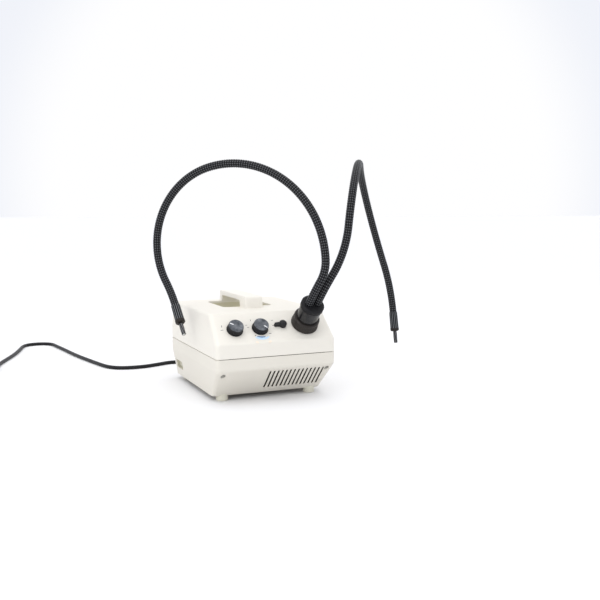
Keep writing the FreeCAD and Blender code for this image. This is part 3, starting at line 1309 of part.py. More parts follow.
def fan_rotor():
    """Hub with twisted blades; it runs on the pin of the fan's frame."""
    deep = FAN_DEPTH / 2
    low = -deep + FAN_ROTOR_FROM_FRONT
    high = deep - FAN_ROTOR_FROM_BACK
    hub = cylinder(FAN_HUB_DIAMETER, low, high)
    root = FAN_HUB_DIAMETER / 2 - 2 * PAST
    blades = []
    for index in range(FAN_BLADES):
        sections = []
        for radius, pitch in ((root, FAN_ROOT_PITCH), (FAN_SWEEP_DIAMETER / 2, FAN_TIP_PITCH)):
            angle = math.radians(pitch)
            chord = FAN_BLADE_SHARE * (high - low) / math.sin(angle) / 2
            along = V(0, math.cos(angle), math.sin(angle))
            across = V(0, -along.z, along.y) * (FAN_BLADE_THICKNESS / 2)
            centre = V(radius, 0, (low + high) / 2)
            corners = [centre - along * chord + across, centre + along * chord + across,
                       centre + along * chord - across, centre - along * chord - across]
            sections.append(Part.makePolygon(corners + corners[:1]))
        blade = Part.makeLoft(sections, True, True)
        blade.rotate(V(0, 0, 0), UP, index * 360.0 / FAN_BLADES)
        blades.append(blade)
    rotor = fused([hub] + blades).common(cylinder(FAN_SWEEP_DIAMETER, low, high))
    bore = cylinder(FAN_PIN_DIAMETER + 2 * RUNNING, low + FAN_HUB_FACE - LOOSE, deep)
    return moved(rotor.cut(bore), fan_frame_at())


def fan_screws():
    """Screws from the chassis plate's upright through the fan's corners."""
    screws = []
    face = -FAN_DEPTH / 2 - CHASSIS_THICKNESS
    for x, y in fan_corners():
        shank = cylinder(FAN_HOLE_DIAMETER - 2 * SEATED, face - PAST, FAN_DEPTH / 2, x, y)
        head = cylinder(FAN_SCREW_HEAD, face - FAN_SCREW_HEAD_HEIGHT, face, x, y)
        screws.append(moved(fused([shank, head]), fan_frame_at()))
    return screws


def transformer_at():
    return -HALF + TRANSFORMER_FROM_SIDE, BACK - TRANSFORMER_FROM_BACK


def transformer():
    """Ring-core transformer, its windings rounded at the edges."""
    x, y = transformer_at()
    inner = TRANSFORMER_HOLE / 2
    outer = TRANSFORMER_DIAMETER / 2
    low = CHASSIS_TOP
    high = CHASSIS_TOP + TRANSFORMER_HEIGHT
    outline = [V(x + inner, y, low), V(x + outer, y, low), V(x + outer, y, high), V(x + inner, y, high)]
    return rounded_face(outline, [TRANSFORMER_EDGE] * 4).revolve(V(x, y, 0), UP, 360)


def transformer_clamp():
    """Dished washer with a bolt through the transformer's hole into the chassis."""
    x, y = transformer_at()
    high = CHASSIS_TOP + TRANSFORMER_HEIGHT
    head_low = high + CLAMP_THICKNESS
    washer = cylinder(TRANSFORMER_HOLE + 2 * CLAMP_OVERLAP, high, head_low, x, y)
    bolt = cylinder(CLAMP_BOLT_DIAMETER, CHASSIS_TOP, head_low, x, y)
    head = cylinder(CLAMP_HEAD_DIAMETER, head_low, head_low + CLAMP_HEAD_HEIGHT, x, y)
    return fused([washer, bolt, head])


def control_board():
    left, front = board_corner()
    low = CHASSIS_TOP + BOARD_ABOVE_CHASSIS
    return box((left, front, low), (left + BOARD_WIDTH, front + BOARD_LENGTH, low + BOARD_THICKNESS))


def board_parts():
    """Capacitors, relay, terminal block and heat sink standing on the control board."""
    left, front = board_corner()
    low = CHASSIS_TOP + BOARD_ABOVE_CHASSIS + BOARD_THICKNESS

    def block(start, end, height):
        return box((left + start[0], front + start[1], low), (left + end[0], front + end[1], low + height))

    parts = [cylinder(diameter, low, low + height, left + x, front + y)
             for diameter, height, x, y in CAPACITORS]
    parts.append(block(RELAY_LOW, RELAY_HIGH, RELAY_HEIGHT))
    terminals = block(TERMINALS_LOW, TERMINALS_HIGH, TERMINALS_HEIGHT)
    first = (TERMINALS_LOW[0] + TERMINALS_HIGH[0] - (TERMINAL_COUNT - 1) * TERMINAL_PITCH) / 2
    middle = (TERMINALS_LOW[1] + TERMINALS_HIGH[1]) / 2
    top = low + TERMINALS_HEIGHT
    holes = [cylinder(TERMINAL_HOLE, top - TERMINAL_HOLE_DEPTH, top + PAST,
                      left + first + way * TERMINAL_PITCH, front + middle) for way in range(TERMINAL_COUNT)]
    parts.append(terminals.cut(holes))
    x, y = SINK_LOW
    sink = [block((x, y), (x + SINK_BASE, y + SINK_LENGTH), SINK_HEIGHT)]
    for fin in range(SINK_FINS):
        start = y + fin * SINK_FIN_PITCH
        end = (x + SINK_BASE + SINK_FIN_LENGTH, start + SINK_FIN)
        sink.append(block((x + SINK_BASE, start), end, SINK_HEIGHT))
    parts.append(fused(sink))
    return parts


# ---- rear fittings and mains lead ---------------------------------------------------------------
def fuse_holder():
    """Fuse carrier: body through the wall, a nut inside and a slotted cap outside."""
    cap = FUSE_CAP_DIAMETER / 2
    body = FUSE_BODY_DIAMETER / 2
    flange = cap + FUSE_FLANGE
    outline = [(0, -FUSE_BODY_DEPTH), (body, -FUSE_BODY_DEPTH), (body, 0), (flange, 0),
               (flange, FUSE_FLANGE_THICKNESS), (cap, FUSE_FLANGE_THICKNESS + FUSE_EDGE / 2),
               (cap - FUSE_EDGE / 2, FUSE_CAP_HEIGHT - FUSE_EDGE), (cap - 1.5 * FUSE_EDGE, FUSE_CAP_HEIGHT),
               (0, FUSE_CAP_HEIGHT)]
    nut = ring(FUSE_BODY_DIAMETER + 2 * FUSE_NUT, FUSE_BODY_DIAMETER, -WALL - FUSE_NUT_THICKNESS, -WALL)
    groove = box((-cap, -FUSE_SLOT_WIDTH / 2, FUSE_CAP_HEIGHT - FUSE_SLOT_DEPTH),
                 (cap, FUSE_SLOT_WIDTH / 2, FUSE_CAP_HEIGHT + PAST))
    return moved(fused([turned(outline), nut]).cut(groove), on_rear(FUSE_X, FUSE_Z))


def strain_relief():
    """Tapered sleeve with ribs round the lead where it leaves the housing."""
    wide = RELIEF_WIDE / 2
    narrow = RELIEF_NARROW / 2
    bore = LEAD_DIAMETER / 2
    flange = wide + RELIEF_FLANGE
    outline = [(bore, -RELIEF_BEHIND), (flange, -RELIEF_BEHIND), (flange, -WALL), (wide, -WALL), (wide, 0),
               (flange, 0), (flange, RELIEF_FLANGE)]
    step = (RELIEF_LENGTH - RELIEF_FLANGE - RELIEF_TIP) / RELIEF_RIBS
    for rib in range(RELIEF_RIBS):
        low = RELIEF_FLANGE + rib * step
        radius = wide - (wide - narrow) * (rib + 0.5) / RELIEF_RIBS
        groove = radius - RELIEF_GROOVE_DEPTH
        outline += [(groove, low), (groove, low + RELIEF_GROOVE)]
        outline += [(radius, low + RELIEF_GROOVE), (radius, low + step)]
    tip_low = RELIEF_LENGTH - RELIEF_TIP + RELIEF_GROOVE_DEPTH / 2
    outline += [(narrow, tip_low), (narrow, RELIEF_LENGTH), (bore, RELIEF_LENGTH)]
    core = ring(RELIEF_NARROW, LEAD_DIAMETER, -RELIEF_BEHIND, RELIEF_LENGTH)
    return moved(fused([turned(outline), core]), on_rear(RELIEF_X, RELIEF_Z))


def lead_points():
    """The lead's route: out of the strain relief, then the chosen points."""
    exit_frame = on_rear(RELIEF_X, RELIEF_Z)
    start = exit_frame.multVec(V(0, 0, RELIEF_LENGTH))
    first = exit_frame.multVec(V(0, 0, RELIEF_LENGTH + LEAD_STRAIGHT))
    return [start, first] + [V(x, BACK + y, z) for x, y, z in LEAD_ROUTE]


def run_line(points, report):
    """Line of straight runs joined by arcs, each as large as its two runs allow."""
    line = BentLine(points[0], (points[1] - points[0]).normalize())
    used = 0.0
    for index in range(1, len(points) - 1):
        arriving = points[index] - points[index - 1]
        leaving = points[index + 1] - points[index]
        turn = arriving.getAngle(leaving)
        shorter = min(arriving.Length, leaving.Length)
        setback = LEAD_ARC_SHARE * shorter
        radius = setback / math.tan(turn / 2)
        line.go(arriving.Length - used - setback)
        line.go(radius * turn, math.degrees(turn), leaving)
        used = setback
        report.append(round(radius, 1))
    line.go((points[-1] - points[-2]).Length - used)
    return line


def mains_lead():
    """The lead's uncoiled stretches: from the strain relief to the coil, and from the coil to the plug."""
    radii = []
    line = run_line(lead_points(), radii)
    visible = line.tube(LEAD_DIAMETER, 0, line.length)
    section = math.pi * LEAD_DIAMETER ** 2 / 4
    print("lead arc radii", radii)
    coiled = COIL_TURNS * math.pi * COIL_DIAMETER
    print("lead length", round(line.length, 1), "coiled", round(coiled, 1), "tail", PLUG_TAIL)
    print("volume ratio", round(visible.Volume / section / line.length, 5))
    start, end = tail_ends()
    tail = BentLine(start, (end - start).normalize())
    tail.go((end - start).Length)
    return [visible, tail.tube(LEAD_DIAMETER, 0, tail.length)]


def tail_ends():
    """Where the lead leaves the coil and where it enters the plug."""
    x = COIL_CENTRE[0] - COIL_DIAMETER / 2
    start = V(x, COIL_CENTRE[1], LEAD_Z)
    end = V(x, COIL_CENTRE[1] + PLUG_TAIL, LEAD_Z)
    return start, end


def cord_coil():
    """The coiled length as one ring of the coil's outer shape."""
    inner = COIL_DIAMETER / 2 - COIL_WIDE * LEAD_DIAMETER / 2
    outer = COIL_DIAMETER / 2 + COIL_WIDE * LEAD_DIAMETER / 2
    high = COIL_HIGH * LEAD_DIAMETER
    x, y = COIL_CENTRE
    outline = [V(x + inner, y, 0), V(x + outer, y, 0), V(x + outer, y, high), V(x + inner, y, high)]
    return rounded_face(outline, [LEAD_DIAMETER / 2] * 4).revolve(V(x, y, 0), UP, 360)


def cord_tie():
    """Strap round the coil's turns at the coil's near side."""
    x, y = COIL_CENTRE
    inner = COIL_DIAMETER / 2 - COIL_WIDE * LEAD_DIAMETER / 2
    outer = COIL_DIAMETER / 2 + COIL_WIDE * LEAD_DIAMETER / 2
    high = COIL_HIGH * LEAD_DIAMETER
    low = V(x - TIE_WIDTH / 2, y - outer - TIE_THICKNESS, 0)
    band = box(low, (x + TIE_WIDTH / 2, y - inner + TIE_THICKNESS, high + TIE_THICKNESS))
    hole = box((x - TIE_WIDTH, y - outer, TIE_THICKNESS), (x + TIE_WIDTH, y - inner, high))
    return band.cut(hole)


def mains_plug():
    """Body and pins of the mains plug, lying on the bench behind the coil."""
    end = tail_ends()[1]
    place = frame_at(V(end.x, end.y, LEAD_Z), -RIGHT, REARWARD)
    radius = PLUG_BODY_DIAMETER / 2
    neck = PLUG_NECK_END_DIAMETER / 2
    neck_end = PLUG_NECK_LENGTH - PLUG_NECK_OVERLAP
    length = PLUG_NECK_LENGTH + PLUG_BODY_LENGTH
    lift = radius - LEAD_Z
    outline = [(0, neck_end), (neck, neck_end), (radius - PLUG_SHOULDER_INSET, PLUG_NECK_LENGTH),
               (radius, PLUG_NECK_LENGTH + PLUG_SHOULDER), (radius, length - PLUG_FACE_EDGE),
               (radius - PLUG_FACE_EDGE, length), (0, length)]
    head = turned(outline)
    head.translate(V(0, lift, 0))
    lead_end = Part.makeCircle(LEAD_DIAMETER / 2 + 0.001, V(0, 0, 0), UP)
    neck_ring = Part.makeCircle(neck, V(0, lift, neck_end), UP)
    boot = Part.makeLoft([Part.Wire(lead_end), Part.Wire(neck_ring)], True, True)
    root = PLUG_PIN_ROOT_DIAMETER / 2
    thick = PLUG_PIN_DIAMETER / 2
    inside = length - PLUG_PIN_IN_BODY
    shoulder = length + PLUG_PIN_STANDS_OFF
    tip = length + PLUG_PIN_LENGTH
    pin = [(0, inside), (root, inside), (root, shoulder), (thick, shoulder), (thick, tip - PLUG_PIN_EDGE),
           (thick - PLUG_PIN_EDGE, tip), (0, tip)]
    spots = [side * PLUG_PIN_SPACING / 2 for side in (-1, 1)]
    holes = [cylinder(PLUG_PIN_ROOT_DIAMETER + 2 * RUNNING, inside, length + PAST, x, lift) for x in spots]
    body = fused([head, boot]).cut(holes)
    return moved(body, place), [moved(turned(pin, x, lift), place) for x in spots]


# ---- everything ---------------------------------------------------------------------------------
LEFT_ARM = arm_line(-1, LEFT_SHAPE)
RIGHT_ARM = arm_line(1, RIGHT_SHAPE)
MAINS_NODES = ("mains_cord", "cord_coil", "cord_tie", "plug_body", "plug_pins")


def build_nodes():
    """Every node by name, each a list of solids in the housing's frame."""
    outer = case_block(0)
    cavity = case_block(WALL)
    plug, pins = mains_plug()
    nodes = {
        "lower_shell": [lower_shell(outer, cavity)],
        "upper_shell": [upper_shell(outer, cavity)],
        "carry_handle": [carry_handle()],
        "handle_screws": handle_screws(),
        "feet": feet(),
        "case_screws": case_screws(),
        "chassis_plate": [chassis_plate()],
        "chassis_screws": chassis_screws(),
        "transformer": [transformer()],
        "transformer_clamp": [transformer_clamp()],
        "control_board": [control_board()],
        "board_parts": board_parts(),
        "fan_frame": [fan_frame()],
        "fan_rotor": [fan_rotor()],
        "fan_screws": fan_screws(),
        "lamp_bracket": [lamp_bracket()],
        "lamp_socket": [lamp_socket()],
        "lamp": [lamp()],
        "lamp_shield": [lamp_shield()],
        "heat_filter": [heat_filter()],
        "socket_sleeve": [socket_sleeve()],
        "clamp_collar": [clamp_collar()],
        "guide_plug": [guide_plug()],
        "bundle_face": [bundle_face()],
        "guide_head": [guide_head()],
        "head_cap": [head_cap()],
        "power_knob": [knob(POWER_AT, POWER_POINTS_TO)],
        "power_cap": [knob_cap(POWER_AT, POWER_POINTS_TO)],
        "power_shaft": [control_shaft(POWER_AT, SWITCH_DEPTH)],
        "power_switch": power_switch(),
        "intensity_knob": [knob(INTENSITY_AT, INTENSITY_POINTS_TO)],
        "intensity_cap": [knob_cap(INTENSITY_AT, INTENSITY_POINTS_TO)],
        "intensity_shaft": [control_shaft(INTENSITY_AT, POT_DEPTH)],
        "intensity_pot": intensity_pot(),
        "shutter_lever": [shutter_lever()],
        "shutter_blade": [shutter_blade()],
        "fuse_holder": [fuse_holder()],
        "strain_relief": [strain_relief()],
        "mains_cord": mains_lead(),
        "cord_coil": [cord_coil()],
        "cord_tie": [cord_tie()],
        "plug_body": [plug],
        "plug_pins": pins,
    }
    for name, line in (("left", LEFT_ARM), ("right", RIGHT_ARM)):
        for index, piece in enumerate(neck_pieces(line)):
            nodes[name + "_neck_" + str(index + 1)] = [piece]
        nodes[name + "_grip"] = [grip(line)]
        nodes[name + "_ferrule"] = [ferrule(line)]
        nodes[name + "_fibre_face"] = [fibre_face(line)]
    return nodes


def frame_shift(nodes):
    """Move that brings the bottom centre of the object without its mains lead to the origin."""
    bounds = FreeCAD.BoundBox()
    for name, solids in nodes.items():
        if name not in MAINS_NODES:
            for solid in solids:
                bounds.add(solid.optimalBoundingBox(False))
    return V(-(bounds.XMin + bounds.XMax) / 2, -(bounds.YMin + bounds.YMax) / 2, -bounds.ZMin)


def export(nodes, shift):
    os.makedirs("parts", exist_ok=True)
    for name, solids in nodes.items():
        shape = solids[0] if len(solids) == 1 else Part.makeCompound(solids)
        shape = moved(shape, FreeCAD.Placement(shift, FreeCAD.Rotation()))
        shape.exportStep(os.path.join("parts", name + ".step"))


NODES = build_nodes()
SHIFT = frame_shift(NODES)
export(NODES, SHIFT)
print("nodes", len(NODES), "shift", [round(value, 3) for value in SHIFT])
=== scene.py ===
import math
import bpy
from mathutils import Euler, Matrix, Vector


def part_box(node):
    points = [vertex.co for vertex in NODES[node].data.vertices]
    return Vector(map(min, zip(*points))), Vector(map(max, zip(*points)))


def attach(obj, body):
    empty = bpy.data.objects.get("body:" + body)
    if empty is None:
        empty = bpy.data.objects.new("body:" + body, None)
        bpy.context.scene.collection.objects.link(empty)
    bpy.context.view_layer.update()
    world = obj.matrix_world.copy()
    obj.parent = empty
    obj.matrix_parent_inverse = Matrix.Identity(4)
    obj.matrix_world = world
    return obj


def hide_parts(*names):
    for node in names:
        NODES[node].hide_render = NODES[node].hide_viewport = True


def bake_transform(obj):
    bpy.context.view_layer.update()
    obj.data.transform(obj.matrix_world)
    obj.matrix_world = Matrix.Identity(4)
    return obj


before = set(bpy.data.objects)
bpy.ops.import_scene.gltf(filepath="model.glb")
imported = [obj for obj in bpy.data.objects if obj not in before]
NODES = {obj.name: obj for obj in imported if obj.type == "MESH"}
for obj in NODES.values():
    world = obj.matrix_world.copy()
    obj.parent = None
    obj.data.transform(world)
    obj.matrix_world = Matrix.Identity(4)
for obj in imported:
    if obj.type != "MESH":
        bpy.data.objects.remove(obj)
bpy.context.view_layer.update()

# ---- places: millimetres round the middle of the housing, turned into metres in the row frame ---
case_low, case_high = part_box("lower_shell")
HOUSING = Vector(((case_low.x + case_high.x) / 2, (case_low.y + case_high.y) / 2, 0))
RIGHT = Vector((1, 0, 0))
UP_PANEL = Vector((0, 44, 42.5)).normalized()
OUT_OF_PANEL = RIGHT.cross(UP_PANEL)
PANEL_FOOT = (0, -131, 96.5)
# on the panel: to the right of its middle, and up its slope
POWER_AT = (-63.7, 27.7)
INTENSITY_AT = (-22.2, 27.6)
GUIDE_AT = (55.0, 31.8)


def mm(x, y, z):
    """Place in the row frame, in metres, from millimetres round the housing's middle."""
    return HOUSING + Vector((x, y, z)) / 1000


def on_panel(at, out=0.0, angle=0.0):
    """Matrix of a place on the sloping panel, for pieces drawn in millimetres."""
    reach = RIGHT * at[0] + UP_PANEL * at[1] + OUT_OF_PANEL * out
    turn = Matrix((RIGHT, UP_PANEL, OUT_OF_PANEL)).transposed().to_4x4()
    spin = Matrix.Rotation(math.radians(angle), 4, "Z")
    return Matrix.Translation(mm(*PANEL_FOOT) + reach / 1000) @ turn @ spin @ Matrix.Scale(0.001, 4)


def new_object(name, data):
    """Object of that data, linked into the scene."""
    thing = bpy.data.objects.new(name, data)
    bpy.context.scene.collection.objects.link(thing)
    return thing


def turn_of(point):
    """Angle of a point round local Z, in radians."""
    return math.atan2(point.y, point.x)


# ---- shader nodes -------------------------------------------------------------------------------
class NodeKit:
    """The few kinds of node that the materials, the floor and the backdrop need."""

    def __init__(self, owner):
        self.nodes = owner.node_tree.nodes
        self.links = owner.node_tree.links

    def feed(self, socket, value):
        """Link a node's output to the socket, or set the socket's own value."""
        if isinstance(value, bpy.types.NodeSocket):
            self.links.new(value, socket)
        else:
            socket.default_value = value

    def add(self, kind, inputs=(), **settings):
        """New node with its settings made and its inputs fed."""
        node = self.nodes.new("ShaderNode" + kind)
        for name, value in settings.items():
            setattr(node, name, value)
        for name, value in dict(inputs).items():
            self.feed(node.inputs[name], value)
        return node

    def value(self, kind, operation, *inputs):
        """Result of a Math or VectorMath node."""
        return self.add(kind, enumerate(inputs), operation=operation).outputs["Value"]

    def ramp(self, value, start=(0, 1), target=(0, 1), kind="LINEAR"):
        """Value mapped from one range to another, and held at its ends."""
        node = self.add("MapRange", {"Value": value}, interpolation_type=kind)
        for name, end in zip(("From Min", "From Max", "To Min", "To Max"), (*start, *target)):
            node.inputs[name].default_value = end
        return node.outputs["Result"]

    def mix(self, share, first, second):
        """Colour between the first and the second, each a colour or another node's output."""
        node = self.add("Mix", {"Factor": share}, data_type="RGBA")
        for name, colour in (("A", first), ("B", second)):
            self.feed(node.inputs[name], (*colour, 1) if isinstance(colour, tuple) else colour)
        return node.outputs["Result"]

    def shade(self, inputs):
        """Set or link inputs of the material's own shader."""
        for name, value in inputs.items():
            self.feed(self.nodes["Principled BSDF"].inputs[name], value)


# ---- camera, light and floor --------------------------------------------------------------------
LENS = 48
SENSOR = 36
CAMERA_AT = (-466.8, -1269.7, 295.3)
CAMERA_DIP = 6.207          # degrees below the horizon
CAMERA_HEADING = -23.897    # degrees round Z from looking along +Y
CAMERA_ROLL = -0.00119      # radians

SUN_ENERGY = 0.45
SUN_SPREAD = 50             # degrees
SUN_COLOUR = (1.0, 0.985, 0.96)
SUN_WAY = (0.05, 0.1, -0.95)
# name, place, target, width and height in metres, and power in watts
AREA_LIGHTS = (
    ("fill", (-1.5, -0.9, 0.7), (0, 0, 0.15), (0.5, 1.2), 5.5),
    ("rim", (1.4, 0.6, 0.9), (0, 0, 0.25), (0.3, 1.2), 1.2),
)

BACKDROP_SIDE = (0.88, 0.90, 0.955)
BACKDROP_MIDDLE = (1.0, 1.0, 1.01)
BACKDROP_HEADING = (0.405, 0.914, 0.03)
BACKDROP_EDGE = (0.925, 0.96)   # cosines of the angle from that heading
OVERHEAD = (1.29, 1.29, 1.31)
OVERHEAD_EDGE = (0.3, 0.95)     # sines of the angle above the horizon
FLOOR_HALF = 60.0
# painted pool of light: the floor is lighter near the object and duller farther off
FLOOR_NEAR = (0.84, 0.84, 0.845)
FLOOR_FAR = (0.79, 0.795, 0.81)
FLOOR_PAINTED_FALLOFF = (0.5, 3.0)         # metres from the object


def set_camera():
    """Camera solved from the housing's edges in the photograph."""
    data = bpy.data.cameras.new("camera")
    data.lens = LENS
    data.sensor_width = SENSOR
    camera = new_object("camera", data)
    turn = Euler((math.radians(90 - CAMERA_DIP), 0, math.radians(CAMERA_HEADING))).to_matrix()
    turn = turn @ Matrix.Rotation(CAMERA_ROLL, 3, "Z")
    camera.matrix_world = Matrix.Translation(mm(*CAMERA_AT)) @ turn.to_4x4()
    bpy.context.scene.camera = camera


def aimed(way):
    """Turn that points a lamp along a direction."""
    return Vector(way).to_track_quat("-Z", "Y").to_euler()


def area_light(name, place, target, size, power):
    """Rectangular lamp at a place, aimed at a target."""
    data = bpy.data.lights.new(name, "AREA")
    data.shape = "RECTANGLE"
    data.size, data.size_y = size
    data.energy = power
    light = new_object(name, data)
    light.location = place
    light.rotation_euler = aimed(Vector(target) - Vector(place))


def backdrop():
    """White paper behind the object, a little duller to the sides, and a soft bright ceiling."""
    world = bpy.data.worlds.new("studio")
    world.use_nodes = True
    kit = NodeKit(world)
    way = kit.add("TexCoord").outputs["Generated"]
    heading = Vector(BACKDROP_HEADING).normalized()
    facing = kit.value("VectorMath", "DOT_PRODUCT", way, heading)
    middle = kit.ramp(facing, BACKDROP_EDGE, kind="SMOOTHSTEP")
    height = kit.add("SeparateXYZ", {"Vector": way}).outputs["Z"]
    above = kit.ramp(height, OVERHEAD_EDGE, kind="SMOOTHSTEP")
    sky = kit.mix(above, kit.mix(middle, BACKDROP_SIDE, BACKDROP_MIDDLE), OVERHEAD)
    kit.feed(kit.nodes["Background"].inputs["Color"], sky)
    return world


def set_studio():
    """Soft light from above, with a weak fill from the left and a weaker rim from behind."""
    scene = bpy.context.scene
    scene.view_settings.view_transform = "Standard"
    scene.world = backdrop()
    sun = bpy.data.lights.new("sun", "SUN")
    sun.energy = SUN_ENERGY
    sun.angle = math.radians(SUN_SPREAD)
    sun.color = SUN_COLOUR
    new_object("sun", sun).rotation_euler = aimed(SUN_WAY)
    for light in AREA_LIGHTS:
        area_light(*light)


def set_floor():
    """Pale floor with a painted pool of light: lighter near the object, it fades with distance into
    the tone behind it.
    """
    mesh = bpy.data.meshes.new("floor")
    corners = ((-1, -1), (1, -1), (1, 1), (-1, 1))
    mesh.from_pydata([(x * FLOOR_HALF, y * FLOOR_HALF, 0) for x, y in corners], [], [(0, 1, 2, 3)])
    paper = bpy.data.materials.new("floor_paper")
    paper.use_nodes = True
    kit = NodeKit(paper)
    distance = kit.value("VectorMath", "LENGTH", kit.add("TexCoord").outputs["Object"])
    tone = kit.mix(kit.ramp(distance, FLOOR_PAINTED_FALLOFF, kind="SMOOTHSTEP"), FLOOR_NEAR, FLOOR_FAR)
    kit.shade({"Base Color": tone, "Roughness": 0.85, "Specular IOR Level": 0.2})
    mesh.materials.append(paper)
    new_object("floor", mesh)


# ---- materials ----------------------------------------------------------------------------------
BROAD_DETAIL = 5
FINE_DETAIL = 3
BUMP_DEPTH = 0.0004
COAT_ROUGHNESS = 0.1


def surface(name, dark, light, rough, grain, bump, metallic=0.0, specular=0.5, coat=0.0,
            patches=25.0, stretch=(1, 1, 1), wear_and_highlight=None, spread=(0, 1)):
    """Material that drifts between two tones, with gloss and grain from fine noise.

    A second tone shows where the mesh's crest attribute is high: wear on some materials, and a
    painted highlight on the neck sleeve and the grip.
    """
    material = bpy.data.materials.new(name)
    material.use_nodes = True
    kit = NodeKit(material)
    place = kit.add("TexCoord").outputs["Object"]
    place = kit.add("Mapping", {"Vector": place, "Scale": stretch}).outputs["Vector"]

    def noise(scale, detail):
        """Value of a noise of that scale."""
        inputs = {"Vector": place, "Scale": scale, "Detail": detail}
        return kit.add("TexNoise", inputs).outputs["Fac"]

    fine = noise(grain, FINE_DETAIL)
    colour = kit.mix(kit.ramp(noise(patches, BROAD_DETAIL), spread), dark, light)
    # the second tone: wear on some materials, a painted highlight on the sleeve and the grip
    if wear_and_highlight:
        crest = kit.add("Attribute", attribute_name="crest").outputs["Fac"]
        colour = kit.mix(kit.value("Math", "MULTIPLY", crest, fine), colour, wear_and_highlight)
    relief = kit.add("Bump", {"Height": fine, "Strength": bump, "Distance": BUMP_DEPTH})
    kit.shade({
        "Base Color": colour, "Roughness": kit.ramp(fine, target=rough),
        "Normal": relief.outputs["Normal"], "Metallic": metallic,
        "Specular IOR Level": specular, "Coat Weight": coat, "Coat Roughness": COAT_ROUGHNESS,
    })
    return material


# name, darker tone, lighter tone, range of roughness, scale of the grain, strength of the bump
CREAM = surface("cream_moulding", (0.765, 0.734, 0.662), (0.785, 0.756, 0.686),
                (0.42, 0.56), 2600, 0.16, patches=9)
# painted shade: the lower shell is the same cream moulding, made darker
CREAM_SHADED = surface("cream_moulding_base_shaded", (0.705, 0.672, 0.597), (0.725, 0.694, 0.62),
                    (0.42, 0.56), 2600, 0.16, patches=9)
CREAM_GRIP = surface("cream_moulding_handle", (0.805, 0.772, 0.70), (0.825, 0.795, 0.725),
                     (0.38, 0.5), 2600, 0.14, patches=9)
FOOT = surface("foot_rubber", (0.62, 0.60, 0.50), (0.68, 0.66, 0.56), (0.75, 0.95), 1500, 0.3)
ZINC = surface("zinc_plate", (0.34, 0.34, 0.33), (0.48, 0.48, 0.46),
               (0.3, 0.5), 900, 0.1, metallic=1.0)
STEEL = surface("screw_steel", (0.32, 0.32, 0.31), (0.48, 0.48, 0.47),
                (0.25, 0.45), 1800, 0.1, metallic=1.0)
TAPE = surface("winding_tape", (0.62, 0.42, 0.07), (0.78, 0.58, 0.14),
               (0.25, 0.45), 300, 0.4, stretch=(1, 1, 6))
BOARD = surface("circuit_board", (0.02, 0.13, 0.05), (0.04, 0.19, 0.08), (0.3, 0.5), 1200, 0.2)
PARTS = surface("board_components", (0.02, 0.02, 0.03), (0.06, 0.06, 0.08), (0.3, 0.5), 1500, 0.15)
MOULDED = surface("black_moulding", (0.009, 0.009, 0.010), (0.016, 0.016, 0.018),
                  (0.35, 0.55), 1800, 0.2, specular=0.25)
KNOB = surface("knob_black", (0.003, 0.003, 0.0035), (0.006, 0.006, 0.007),
               (0.3, 0.5), 2200, 0.2, specular=0.13, wear_and_highlight=(0.10, 0.10, 0.11))
CAP = surface("cap_satin", (0.040, 0.046, 0.056), (0.175, 0.187, 0.205),
              (0.3, 0.42), 1600, 0.08, specular=0.3, patches=130, spread=(0.33, 0.67))
TURNED = surface("turned_metal", (0.45, 0.45, 0.46), (0.6, 0.6, 0.61),
                 (0.2, 0.38), 1400, 0.1, metallic=1.0, stretch=(1, 1, 8))
GLASS = surface("lamp_glass", (0.75, 0.78, 0.8), (0.85, 0.88, 0.9),
                (0.03, 0.08), 600, 0.02, specular=0.8, coat=1.0)
CERAMIC = surface("ceramic", (0.74, 0.71, 0.64), (0.82, 0.8, 0.74), (0.6, 0.8), 1500, 0.3)
ANODISED = surface("anodised_black", (0.005, 0.004, 0.004), (0.010, 0.008, 0.008),
                   (0.28, 0.42), 2600, 0.1, specular=0.22, wear_and_highlight=(0.085, 0.072, 0.062))
HEAD = surface("head_gloss", (0.007, 0.007, 0.008), (0.013, 0.013, 0.015),
               (0.16, 0.28), 1800, 0.05, specular=0.45)
MATT = surface("cap_matt", (0.006, 0.006, 0.007), (0.011, 0.011, 0.013),
               (0.45, 0.6), 2200, 0.3, specular=0.2)
# the sleeve's lighter second tone on the braid's crossings is a painted highlight
SLEEVE = surface("neck_sleeve", (0.002, 0.002, 0.0025), (0.004, 0.004, 0.005),
                 (0.3, 0.46), 3000, 0.15, specular=0.10, wear_and_highlight=(0.36, 0.37, 0.39))
# the grip's lighter second tone on its ridges is a painted highlight
GRIP = surface("grip_black", (0.002, 0.002, 0.0025), (0.004, 0.004, 0.005),
               (0.3, 0.45), 2400, 0.2, specular=0.10, wear_and_highlight=(0.42, 0.44, 0.46))
BAND = surface("grip_band", (0.012, 0.009, 0.008), (0.020, 0.016, 0.013),
               (0.35, 0.5), 1800, 0.1, specular=0.25)
FERRULE = surface("ferrule_steel", (0.03, 0.03, 0.033), (0.06, 0.06, 0.063),
                  (0.25, 0.4), 2600, 0.2, metallic=1.0, wear_and_highlight=(0.33, 0.33, 0.335))
FIBRE = surface("fibre_ends", (0.5, 0.52, 0.5), (0.9, 0.92, 0.88),
                (0.05, 0.12), 9000, 0.1, patches=9000, coat=1.0)
LEAD = surface("lead_black", (0.006, 0.006, 0.007), (0.011, 0.011, 0.012),
               (0.38, 0.5), 1500, 0.1, specular=0.25)
PIN = surface("pin_nickel", (0.55, 0.53, 0.48), (0.68, 0.66, 0.6),
              (0.18, 0.3), 1500, 0.05, metallic=1.0)
WHITE = surface("mark_white", (0.9, 0.91, 0.92), (0.95, 0.96, 0.97), (0.4, 0.55), 2500, 0.05)
INK = surface("print_grey", (0.06, 0.06, 0.065), (0.10, 0.10, 0.105), (0.45, 0.55), 3000, 0.02)
BLUE = surface("print_blue", (0.10, 0.22, 0.42), (0.14, 0.28, 0.5), (0.45, 0.55), 3000, 0.02)
